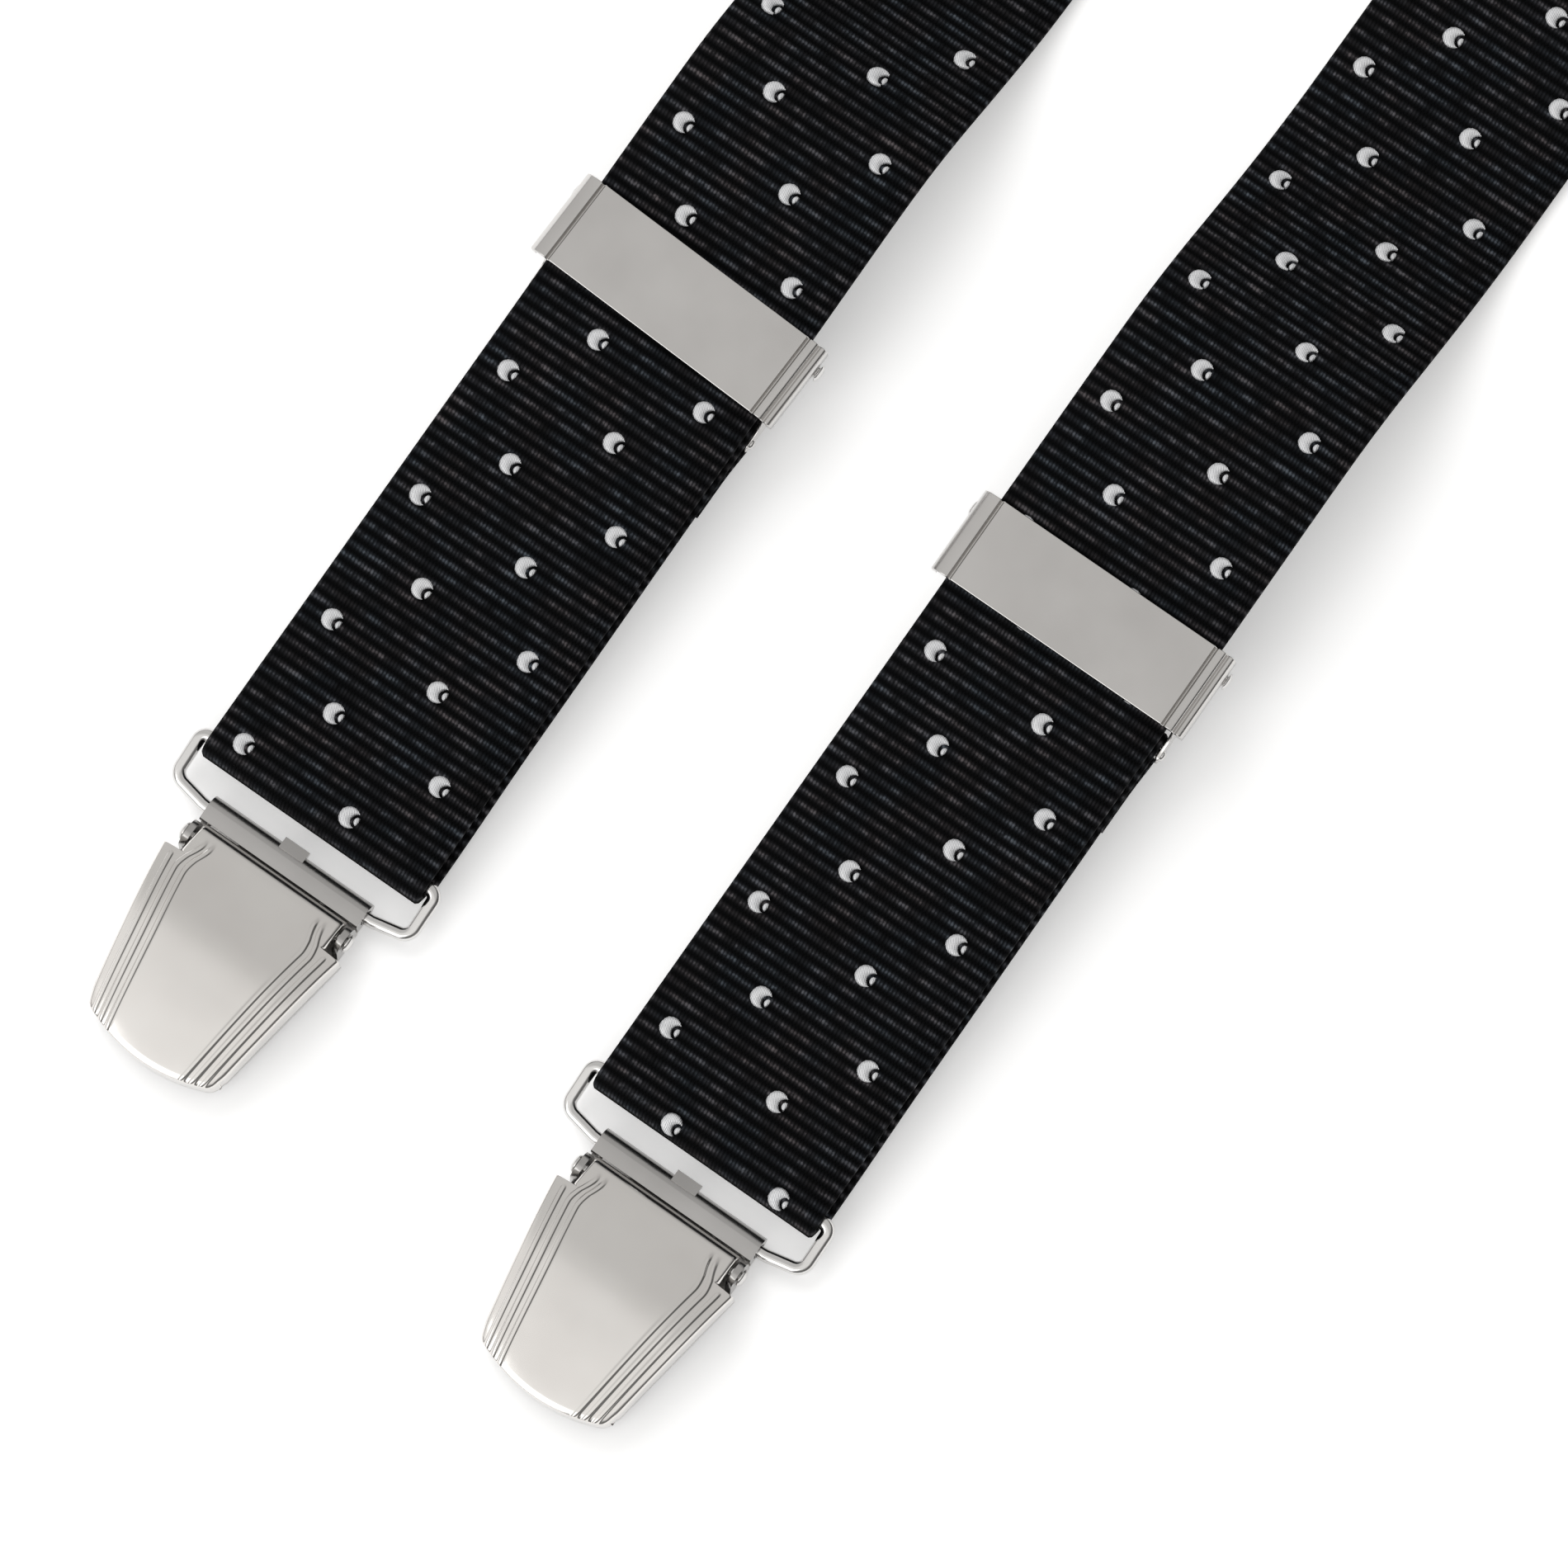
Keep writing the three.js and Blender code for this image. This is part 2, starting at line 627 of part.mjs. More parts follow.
// A point of the adjuster's own frame, on the sloping strap.
function adjusterPoint(side, a, b) {
  const slope = Math.atan(STRAP_SLOPE);
  return vector(
    side.x,
    side.y + side.adjuster + a * Math.cos(slope) - b * Math.sin(slope),
    strapHeight(side, side.adjuster) + a * Math.sin(slope) + b * Math.cos(slope),
  );
}

// The frame: a front plate folded down at both ends, with a groove and a rolled
// edge near each end, ears for the pin and arms for the bar.
function adjusterFrame() {
  const inner = ADJ_HALF - ADJ_WALL;
  const half = [
    [0, ADJ_TOP], [16.55, ADJ_TOP], [16.7, 1.72], [16.95, 1.72], [17.1, ADJ_TOP],
    [17.5, 2.14], [18.0, 2.14], [18.25, 1.9], [18.45, 1.9], [18.65, 2.1],
    [19.1, 2.06], [19.5, 1.84], [19.74, 1.45], [ADJ_HALF, 1.0], [ADJ_HALF, -6.2],
    [inner, -6.2], [inner, ADJ_UNDER], [0, ADJ_UNDER],
  ];
  const section = outline([...half, ...half.slice(1, -1).reverse().map(([x, b]) => [-x, b])]);
  const silhouette = [
    [-ADJ_HALF_LENGTH, 1.5], [-ADJ_HALF_LENGTH, -0.6], [-7.2, -1.9],
    ...arc(ADJ_BAR_A, ADJ_BAR_B, 1.55, 110, 280, 10),
    [-2, -4.6],
    ...arc(ADJ_PIN_A, ADJ_PIN_B, 1.9, -95, 10, 8),
    [ADJ_HALF_LENGTH, -0.6], [ADJ_HALF_LENGTH, 1.5], [5.7, 2.3], [-5.7, 2.3],
  ];
  const body = common(prismY(section, -12, 8), prismX(outline(silhouette), -22, 22));
  return cut(
    body,
    rodX(ADJ_PIN_A, ADJ_PIN_B, ADJ_HOLE_R, -25, 25),
    rodX(ADJ_BAR_A, ADJ_BAR_B, ADJ_HOLE_R, -25, 25),
  );
}

// The gripper: a toothed lever under the webbing that turns on the pin.
function adjusterLever() {
  const profile = outline([
    [ADJ_PIN_A + 0.2, ADJ_PIN_B + 1.3],
    [ADJ_PIN_A - 0.9, -1.15],
    [ADJ_PIN_A - 1.5, -1.1],
    [ADJ_PIN_A - 1.9, -1.7],
    [-4.2, -2.3],
    [-5.2, -2.9],
    [-4.9, -3.3],
    [-3.6, -3.2],
    [ADJ_PIN_A - 1.4, -2.9],
    [ADJ_PIN_A - 0.6, ADJ_PIN_B - 1.2],
  ]);
  const joined = union(
    prismX(profile, -15.5, 15.5),
    ringX(ADJ_PIN_A, ADJ_PIN_B, 1.5, ADJ_HOLE_R, -15.5, 15.5),
  );
  const cutters = [rodX(ADJ_PIN_A, ADJ_PIN_B, ADJ_HOLE_R, -25, 25)];
  for (const x of spread(-13.5, 13.5, 3)) {
    const notch = outline([[x - 0.8, -0.8], [x, -1.75], [x + 0.8, -0.8]]);
    cutters.push(prismY(notch, 1.4, ADJ_PIN_A));
  }
  return cut(joined, ...cutters);
}

function onStrap(side, geometry) {
  const place = new THREE.Matrix4()
    .makeTranslation(side.x, side.y + side.adjuster, strapHeight(side, side.adjuster))
    .multiply(new THREE.Matrix4().makeRotationX(Math.atan(STRAP_SLOPE)));
  return geometry.applyMatrix4(place);
}

// ================================================================ the assembly

const group = new THREE.Group();
group.name = 'suspenders';

const FINISH = {
  steel: { color: 0xd2cec8, metalness: 1, roughness: 0.18 },
  plate: { color: 0xb2aeaa, metalness: 1, roughness: 0.25 },
  wire: { color: 0xc4c2c0, metalness: 1, roughness: 0.2 },
  pad: { color: 0x202022, metalness: 0, roughness: 0.7 },
  web: { color: 0x101114, metalness: 0, roughness: 0.85 },
  leather: { color: 0x15120f, metalness: 0, roughness: 0.6 },
};

function add(name, geometry, finish) {
  const bare = geometry.index ? geometry : mergeVertices(geometry, 1e-4);
  if (bare.attributes.normal) bare.deleteAttribute('normal');
  bare.computeVertexNormals();
  const mesh = new THREE.Mesh(bare, new THREE.MeshStandardMaterial(FINISH[finish]));
  mesh.name = name;
  group.add(mesh);
}

function addClip(key, place) {
  const pieces = {
    wire: [wireLoop(), 'wire'],
    base: [clipBase(), 'plate'],
    cover: [clipCover(), 'steel'],
    jaw: [clipJaw(), 'plate'],
    pad: [clipPad(), 'pad'],
    pin: [headedPin(PIN_Y, PIN_Z, PIN_R, 1.35, EAR_OUT + 0.15, 0.7), 'wire'],
  };
  for (const [piece, [geometry, finish]] of Object.entries(pieces)) {
    add(`clip_${key}_${piece}`, place(geometry), finish);
  }
}

for (const [key, side] of Object.entries(SIDES)) {
  add(`strap_${key}_main`, mainStrap(side), 'web');
  add(`strap_${key}_return`, returnStrap(side), 'web');
  addClip(key, (geometry) => geometry.translate(side.x, side.y, 0));
  const rodHalf = ADJ_HALF + 0.1;
  add(`adjuster_${key}_frame`, onStrap(side, adjusterFrame()), 'plate');
  add(`adjuster_${key}_lever`, onStrap(side, adjusterLever()), 'plate');
  const pin = headedPin(ADJ_PIN_A, ADJ_PIN_B, ADJ_ROD_R, 1.3, rodHalf, 0.5);
  add(`adjuster_${key}_pin`, onStrap(side, pin), 'wire');
  const bar = headedPin(ADJ_BAR_A, ADJ_BAR_B, ADJ_ROD_R, 1.15, rodHalf, 0.4);
  add(`adjuster_${key}_bar`, onStrap(side, bar), 'wire');
}

add('strap_rear', rearStrap(), 'web');
addClip('rear', (geometry) => geometry.rotateZ(Math.PI).translate(0, REAR_TURN_Y, 0));
add('patch_under', patchLayer(0, LEATHER), 'leather');
add('patch_top', patchLayer(LEATHER + WEB_THICK + 0.6, 2 * LEATHER + WEB_THICK + 0.6), 'leather');

// Put the origin under the middle of the whole layout, on the table.
const bounds = new THREE.Box3().setFromObject(group);
const centre = bounds.getCenter(new THREE.Vector3());
for (const mesh of group.children) mesh.geometry.translate(-centre.x, -centre.y, -bounds.min.z);

export default group;
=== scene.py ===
# %% [markdown]
# # Clip-on suspenders, from the frame to the finish
# Suspenders are long strips of ribbed elastic webbing joined by a leather patch at
# the back, with a metal slide to set the length and a clip at each end.  The solids
# of every piece are already there, at the right size and in the right place: this
# lesson gives each of them its real surface.  The scene is in metres and the sizes
# written here are in millimetres, so each is multiplied by MM.  +Y runs from the front
# clips to the rear clip, and z = 0 is the plane that they lie on.

# %% The frame
import json
import math

import bmesh
import bpy
import numpy as np
from mathutils import Matrix, Vector

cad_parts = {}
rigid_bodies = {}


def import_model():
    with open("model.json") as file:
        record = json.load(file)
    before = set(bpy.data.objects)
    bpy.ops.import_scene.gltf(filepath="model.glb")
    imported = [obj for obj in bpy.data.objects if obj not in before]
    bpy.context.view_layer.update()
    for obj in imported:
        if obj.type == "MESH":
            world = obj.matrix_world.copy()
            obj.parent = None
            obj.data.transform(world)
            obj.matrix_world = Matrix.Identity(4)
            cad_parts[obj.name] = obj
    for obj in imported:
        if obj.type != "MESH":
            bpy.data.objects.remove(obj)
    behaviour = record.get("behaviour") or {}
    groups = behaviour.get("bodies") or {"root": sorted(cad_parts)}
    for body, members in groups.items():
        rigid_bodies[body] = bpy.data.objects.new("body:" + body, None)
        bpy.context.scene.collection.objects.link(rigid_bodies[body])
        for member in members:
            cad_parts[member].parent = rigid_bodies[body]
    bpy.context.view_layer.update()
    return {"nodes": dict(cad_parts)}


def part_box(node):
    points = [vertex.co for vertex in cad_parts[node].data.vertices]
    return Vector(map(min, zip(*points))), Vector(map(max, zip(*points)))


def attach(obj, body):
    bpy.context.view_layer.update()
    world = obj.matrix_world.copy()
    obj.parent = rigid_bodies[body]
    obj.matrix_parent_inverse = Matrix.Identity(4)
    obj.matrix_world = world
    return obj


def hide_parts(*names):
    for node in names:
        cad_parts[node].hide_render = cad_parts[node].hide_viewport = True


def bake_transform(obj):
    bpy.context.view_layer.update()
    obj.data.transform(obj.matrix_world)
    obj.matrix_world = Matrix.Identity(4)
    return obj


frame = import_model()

MM = 0.001

# %% [markdown]
# ## Two small helpers for nodes
# A material and a modifier are both trees of nodes.  `Nodes` adds one node at a time
# and `Signal` stands for one output of a node, so that sums are written as sums.

# %% Nodes and signals
class Signal:
    """One output of a node; arithmetic on it adds Math nodes."""

    def __init__(self, nodes, socket):
        self.nodes = nodes
        self.socket = socket

    def maths(self, operation, *values):
        inputs = dict(enumerate(values))
        return self.nodes.node("ShaderNodeMath", {"operation": operation}, inputs)

    def __add__(self, other):
        return self.maths("ADD", self, other)

    def __sub__(self, other):
        return self.maths("SUBTRACT", self, other)

    def __rsub__(self, other):
        return self.maths("SUBTRACT", other, self)

    def __mul__(self, other):
        return self.maths("MULTIPLY", self, other)

    def __truediv__(self, other):
        return self.maths("DIVIDE", self, other)

    def __pow__(self, other):
        return self.maths("POWER", self, other)

    def __abs__(self):
        return self.maths("ABSOLUTE", self)

    __radd__ = __add__
    __rmul__ = __mul__

    def sine(self):
        return self.maths("SINE", self)

    def floor(self):
        return self.maths("FLOOR", self)


class Nodes:
    """A node tree that is being built."""

    def __init__(self, tree):
        self.tree = tree

    def node(self, kind, settings=None, inputs=None, output=0):
        made = self.tree.nodes.new(kind)
        for key, value in (settings or {}).items():
            if key != "stops":
                setattr(made, key, value)
                continue
            stops = made.color_ramp.elements
            while len(stops) < len(value):
                stops.new(1.0)
            for stop, (place, colour) in zip(stops, value):
                stop.position = place
                stop.color = (*colour, 1.0)
        for key, value in (inputs or {}).items():
            if isinstance(value, Signal):
                self.tree.links.new(value.socket, made.inputs[key])
            else:
                made.inputs[key].default_value = value
        return Signal(self, made.outputs[output])


class Finish(Nodes):
    """A material: fixed values go on the shader, changing ones are fed to it."""

    def __init__(self, name, **fixed):
        self.material = bpy.data.materials.new(name)
        self.material.use_nodes = True
        super().__init__(self.material.node_tree)
        self.shader = self.tree.nodes["Principled BSDF"]
        for key, value in fixed.items():
            self.shader.inputs[key.replace("_", " ")].default_value = value

    def feed(self, **signals):
        for key, signal in signals.items():
            self.tree.links.new(signal.socket, self.shader.inputs[key.replace("_", " ")])

    def place(self):
        return self.node("ShaderNodeTexCoord", output="Object")

    def flat(self):
        """Across and along a ribbon, in metres, from its own map."""
        split = self.node("ShaderNodeSeparateXYZ", None, {0: self.node("ShaderNodeUVMap")})
        return split, Signal(self, split.socket.node.outputs[1])

    def noise(self, vector, scale, detail=2.0, roughness=0.5):
        values = {"Vector": vector, "Scale": scale, "Detail": detail, "Roughness": roughness}
        return self.node("ShaderNodeTexNoise", None, values)

    def between(self, low, high, signal):
        """From one number to another as a signal goes from 0 to 1."""
        return signal * (high - low) + low

    def colours(self, signal, *stops):
        return self.node("ShaderNodeValToRGB", {"stops": stops}, {0: signal})

    def bump(self, height, distance, strength=1.0):
        values = {"Height": height, "Distance": distance, "Strength": strength}
        return self.node("ShaderNodeBump", None, values)


# %% [markdown]
# ## Meshes
# Most pieces here are grids of points, built with numpy, or copies of the frame's own
# solids with their hard edges rounded.  These helpers make both.

# %% Mesh helpers
def mesh_piece(name, points, faces, across_along=None):
    """A mesh object from points in millimetres, with its own map if one is given."""
    mesh = bpy.data.meshes.new(name)
    mesh.from_pydata((np.asarray(points) * MM).tolist(), [], [list(f) for f in faces])
    if across_along is not None:
        layer = mesh.uv_layers.new(name="UVMap")
        corner = np.zeros(len(mesh.loops), int)
        mesh.loops.foreach_get("vertex_index", corner)
        layer.data.foreach_set("uv", (np.asarray(across_along) * MM)[corner].ravel())
    piece = bpy.data.objects.new(name, mesh)
    bpy.context.scene.collection.objects.link(piece)
    return piece


def ring_faces(rings, n):
    """Faces of a closed tube whose rings have n points each, with its two ends."""
    sides = [(i * n + k, i * n + (k + 1) % n, (i + 1) * n + (k + 1) % n, (i + 1) * n + k)
             for i in range(rings - 1) for k in range(n)]
    return sides + [tuple(range(n)), tuple((rings - 1) * n + k for k in range(n))]


def outward(piece):
    """Turns every face of a closed piece outwards."""
    shape = bmesh.new()
    shape.from_mesh(piece.data)
    bmesh.ops.recalc_face_normals(shape, faces=shape.faces)
    shape.to_mesh(piece.data)
    shape.free()
    return piece


def smooth(piece):
    piece.data.polygons.foreach_set("use_smooth", [True] * len(piece.data.polygons))
    return piece


def settle(piece):
    """Applies every modifier, leaving a plain mesh."""
    bpy.context.view_layer.update()
    graph = bpy.context.evaluated_depsgraph_get()
    finished = bpy.data.meshes.new_from_object(
        piece.evaluated_get(graph), preserve_all_data_layers=True, depsgraph=graph)
    piece.modifiers.clear()
    piece.data = finished
    return piece


def join(first, *others):
    """Joins other pieces to the first one, each with its own material."""
    chosen = [first, *others]
    with bpy.context.temp_override(
            active_object=first, object=first, selected_objects=chosen,
            selected_editable_objects=chosen):
        bpy.ops.object.join()
    return first


def paint(piece, finish):
    piece.data.materials.clear()
    piece.data.materials.append(finish.material)
    return piece


# %% [markdown]
# ## Rounded copies of the solids
# A pressed or cast metal part has no knife edges: every edge has a small radius that
# catches a line of light.  A copy of the solid is merged, its flat faces are made
# whole again, and a Bevel rounds what is sharper than 30 degrees.

# %% A copy with rounded edges
MERGE_WITHIN = 0.002
FLAT_WITHIN = 0.6


def even_shading(piece):
    """Keeps the flat faces flat to look at, and applies every modifier."""
    weighted = piece.modifiers.new("flat faces stay flat", "WEIGHTED_NORMAL")
    weighted.keep_sharp = True
    return settle(smooth(piece))


def soften(piece, radius, steps=2, sharper_than=30.0):
    """Rounds the edges that are sharper than an angle in degrees."""
    bevel = piece.modifiers.new("rounded edges", "BEVEL")
    bevel.width = radius * MM
    bevel.segments = steps
    bevel.limit_method = "ANGLE"
    bevel.angle_limit = math.radians(sharper_than)
    return even_shading(piece)


def rounded_copy(node, name, radius, steps=2):
    piece = bpy.data.objects.new(name, frame["nodes"][node].data.copy())
    piece.data.name = name
    bpy.context.scene.collection.objects.link(piece)
    shape = bmesh.new()
    shape.from_mesh(piece.data)
    bmesh.ops.remove_doubles(shape, verts=shape.verts, dist=MERGE_WITHIN * MM)
    bmesh.ops.dissolve_limit(
        shape, angle_limit=math.radians(FLAT_WITHIN), verts=shape.verts, edges=shape.edges)
    shape.to_mesh(piece.data)
    shape.free()
    return soften(piece, radius, steps)


# %% [markdown]
# ## Camera and table
# The suspenders lie on a white table and are seen from nearly straight above with a
# long lens, turned so that the straps run up to the right.  The table gives off a
# little light of its own, which keeps it white where the lamps fall off.

# %% Camera
CAMERA_AT = Vector((0.20559, -0.62585, 1.43376))
CAMERA_RIGHT = Vector((0.81526, 0.57784, -0.03798))
CAMERA_UP = Vector((-0.56383, 0.80703, 0.17550))
CAMERA_BACK = Vector((0.13206, -0.12166, 0.98375))
LENS = 257.5

camera = bpy.data.objects.new("camera", bpy.data.cameras.new("camera"))
bpy.context.scene.collection.objects.link(camera)
turn = Matrix((CAMERA_RIGHT, CAMERA_UP, CAMERA_BACK)).transposed().to_4x4()
camera.matrix_world = Matrix.Translation(CAMERA_AT) @ turn
camera.data.lens = LENS
camera.data.sensor_width = 36
camera.data.clip_start = 0.05
camera.data.clip_end = 50
bpy.context.scene.camera = camera
bpy.context.scene.view_settings.view_transform = "Standard"

# %% Table
TABLE_HALF = 4000
TABLE_Z = -0.15
TABLE_GLOW = 0.34

paper = Finish(
    "white table", Roughness=0.9, Specular_IOR_Level=0.1, Emission_Strength=TABLE_GLOW)
grain = paper.noise(paper.place(), 60.0)
white = paper.colours(grain, (0.0, (0.90, 0.90, 0.90)), (1.0, (0.93, 0.93, 0.93)))
paper.feed(Base_Color=white, Emission_Color=white)

corners = [(-1, -1), (1, -1), (1, 1), (-1, 1)]
table = mesh_piece(
    "table", [(x * TABLE_HALF, y * TABLE_HALF, TABLE_Z) for x, y in corners], [(0, 1, 2, 3)])
paint(table, paper)

# %% [markdown]
# ## Light
# A broad light stands over the left of the straps and throws a soft shadow to their
# right, and a weaker one by the clips fills it.  Polished metal shows whatever is round
# it, so the sky is not even: it is brightest towards the clips, a little greyer
# overhead, and dark low down, most of all on the right.  The key light itself is kept
# out of the reflections.

# %% Sky
LEAN_RIGHT = 0.34
LEAN_TO_CLIPS = 0.15
SKY_COLOUR = (1.0, 0.99, 0.975, 1)

sky = bpy.data.worlds.new("studio")
bpy.context.scene.world = sky
sky.use_nodes = True
studio = Nodes(sky.node_tree)
direction = studio.node("ShaderNodeTexCoord", output="Generated")
parts = studio.node("ShaderNodeSeparateXYZ", None, {0: direction})
to_the_right = Signal(studio, parts.socket.node.outputs[0])
towards_clips = Signal(studio, parts.socket.node.outputs[1])
height = Signal(studio, parts.socket.node.outputs[2])


def eased(signal, low, high, dark, light):
    """Goes gently from dark to light as a signal goes from low to high."""
    return studio.node(
        "ShaderNodeMapRange", {"interpolation_type": "SMOOTHSTEP"},
        {"Value": signal, "From Min": low, "From Max": high, "To Min": dark, "To Max": light})


level = eased(towards_clips, 0.12, -0.34, 0.64, 0.97)
leaning = height - to_the_right * LEAN_RIGHT + towards_clips * LEAN_TO_CLIPS
horizon = eased(leaning, 0.16, 0.60, 0.17, 1.0)
background = sky.node_tree.nodes["Background"]
background.inputs["Color"].default_value = SKY_COLOUR
sky.node_tree.links.new((level * horizon).socket, background.inputs["Strength"])


# %% Lamps
def soft_light(name, at, aim, size, radiance):
    """A square lamp; its power is worked out from how bright its face is."""
    lamp = bpy.data.lights.new(name, "AREA")
    lamp.size = size
    lamp.energy = radiance * math.pi * size * size
    made = bpy.data.objects.new(name, lamp)
    bpy.context.scene.collection.objects.link(made)
    made.location = at
    made.rotation_mode = "QUATERNION"
    made.rotation_quaternion = (Vector(aim) - Vector(at)).to_track_quat("-Z", "Y")
    return made


MIDDLE = (0.0, -0.35, 0.0)
key_light = soft_light("key light", (-1.25, 0.35, 1.55), MIDDLE, 1.5, 2.0)
key_light.visible_glossy = False
soft_light("light by the clips", (-0.35, -2.1, 1.0), MIDDLE, 1.5, 1.3)
print("camera and light are set")

# %% [markdown]
# ## The run of the webbing
# Each strap is one strip of webbing.  Its run is a line of points down its middle: up
# the table from the clip's wire, over a small wave above the adjuster, and then in a
# gentle bow to the patch.  The same lines made the solids.

# %% Sizes of the webbing
WEB_WIDTH = 35.0
WEB_THICK = 1.5
STRAP_X = 33.5
STRAP_SLOPE = 0.062
STRAIGHT_TO = 230.0
PATCH_ANGLE = math.radians(12)
FRONT_END = (18.6, 722.0)
LYING_Z = 0.95
BAR_Z = 4.0
TURN_R = 2.0
BAR_Y = 2.75
REAR_TURN_Y = 985.0
REAR_START_Y = 727.0
REAR_FOLD = 38.0
LEATHER = 1.3
PATCH_Z = LEATHER + 0.3 + WEB_THICK / 2
SIDES = {
    "left": {"x": -STRAP_X, "y": 0.0, "adjuster": 83.7, "crest": 112.0},
    "right": {"x": STRAP_X, "y": -6.3, "adjuster": 86.0, "crest": 122.0},
}
SHIFT_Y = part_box("strap_left_main")[0].y / MM
print("the left strap's lower end is at y =", round(SHIFT_Y, 2), "mm")


# %% Curves through knots
def curve(knots, at):
    """A smooth curve through knots of (position, value, slope)."""
    i = 0
    while i + 2 < len(knots) and at > knots[i + 1][0]:
        i += 1
    (x0, v0, m0), (x1, v1, m1) = knots[i], knots[i + 1]
    h = x1 - x0
    t = (at - x0) / h
    rise = t * t * (3 - 2 * t)
    return (v0 * (1 - rise) + v1 * rise
            + m0 * h * t * (1 - t) ** 2 - m1 * h * t * t * (1 - t))


def smoothstep(value, low=0.0, high=1.0):
    t = np.clip((value - low) / (high - low), 0, 1)
    return t * t * (3 - 2 * t)


TURN_STEPS = 40


def turn_points(x, y, z, start, end):
    """Webbing's middle as it turns round a bar, between two angles in degrees."""
    angles = np.radians(np.linspace(start, end, TURN_STEPS + 1))
    return [(x, y + TURN_R * math.cos(a), z + TURN_R * math.sin(a)) for a in angles]


# %% Height of a front strap
# Past the crest, a knot is (how far past it, rise from the height given, slope).
BEND_BEFORE = 12
FALL = [(2, 0.25, -0.1), (13, -3.0, -0.46), (27, -8.9, -0.34)]
SETTLE = [(40, 0.15, -0.06), (50, 0, 0)]
CLIMB_FROM = 90
CLIMB_TO = 42


def strap_height(side, y):
    start, crest = BAR_Z + TURN_R, side["crest"]
    bend = crest - BEND_BEFORE
    if y <= bend:
        return start + STRAP_SLOPE * (y - BAR_Y)
    high = start + STRAP_SLOPE * (bend - BAR_Y)
    end = FRONT_END[1] - side["y"]
    knots = [(bend, high, STRAP_SLOPE)]
    knots += [(crest + past, high + rise, slope) for past, rise, slope in FALL]
    knots += [(crest + past, LYING_Z + rise, slope) for past, rise, slope in SETTLE]
    knots += [
        (end - CLIMB_FROM, LYING_Z, 0), (end - CLIMB_TO, PATCH_Z, 0), (end + 1, PATCH_Z, 0)]
    return curve(knots, y)


# %% Run of a front strap
BOW_START = 190
BOW_END = 180
BOW_POINTS = 260


def front_run(side):
    """Points and sideways directions of a front strap, from under its wire."""
    x, foot = side["x"], side["y"]
    line = turn_points(x, foot + BAR_Y, BAR_Z, 270, 90)
    for y in np.arange(BAR_Y + 0.8, STRAIGHT_TO - foot - 2, 1.5):
        line.append((x, foot + y, strap_height(side, y)))
    sideways = [(1.0, 0.0, 0.0)] * len(line)
    sign = math.copysign(1, x)
    end = np.array([sign * FRONT_END[0], FRONT_END[1]])
    lead = end + BOW_END * np.array([sign * math.sin(PATCH_ANGLE), -math.cos(PATCH_ANGLE)])
    a, b = np.array([x, STRAIGHT_TO]), np.array([x, STRAIGHT_TO + BOW_START])
    for t in np.linspace(0, 1, BOW_POINTS):
        s = 1 - t
        here = s**3 * a + 3 * s * s * t * b + 3 * s * t * t * lead + t**3 * end
        way = s * s * (b - a) + 2 * s * t * (lead - b) + t * t * (end - lead)
        way /= np.linalg.norm(way)
        line.append((*here, strap_height(side, here[1] - foot)))
        sideways.append((way[1], -way[0], 0.0))
    return line, sideways


# %% Run of the lower layer
ADJ_BAR = (-9.0, -3.9)
LOWER_ASIDE = 0.5
LOWER_RISEN = 26
LOWER_GAP = 2.5
BAR_LEAD = 12
TAB_LENGTH = 13.5
TAB_FLAT = 7


def adjuster_point(side, a, b):
    """A point a along and b above the middle of the webbing at the adjuster."""
    slope = math.atan(STRAP_SLOPE)
    y, z = side["adjuster"], strap_height(side, side["adjuster"])
    return (side["x"], side["y"] + y + a * math.cos(slope) - b * math.sin(slope),
            z + a * math.sin(slope) + b * math.cos(slope))


def lower_run(side):
    """From the wire up to the adjuster's bar, round it and back as a sewn tab."""
    x, bar_y, bar_z = adjuster_point(side, *ADJ_BAR)
    x += LOWER_ASIDE
    foot, top = side["y"], bar_z + TURN_R
    knots = [
        (BAR_Y, BAR_Z - TURN_R, 0),
        (LOWER_RISEN, strap_height(side, LOWER_RISEN) - LOWER_GAP, STRAP_SLOPE),
        (bar_y - foot - BAR_LEAD, top - BAR_LEAD * STRAP_SLOPE, STRAP_SLOPE),
        (bar_y - foot, top, STRAP_SLOPE)]
    line = [(x, foot + y, curve(knots, y))
            for y in np.arange(BAR_Y + 0.3, bar_y - foot - 0.5, 1.0)]
    line += turn_points(x, bar_y, bar_z, 90, -90)
    tab = [
        (bar_y - TAB_LENGTH, top - TAB_LENGTH * STRAP_SLOPE - WEB_THICK - 0.3, STRAP_SLOPE),
        (bar_y - TAB_FLAT, top - TAB_FLAT * STRAP_SLOPE - WEB_THICK - 0.4, 0),
        (bar_y, bar_z - TURN_R, 0)]
    line += [(x, bar_y - y, curve(tab, bar_y - y)) for y in np.arange(0.75, TAB_LENGTH, 0.75)]
    return line, [(1.0, 0.0, 0.0)] * len(line)


# %% Run of the rear strap
REAR_HELD = 52
REAR_DOWN = 92
REAR_LIFTS = 75
FOLD_EASE = 16


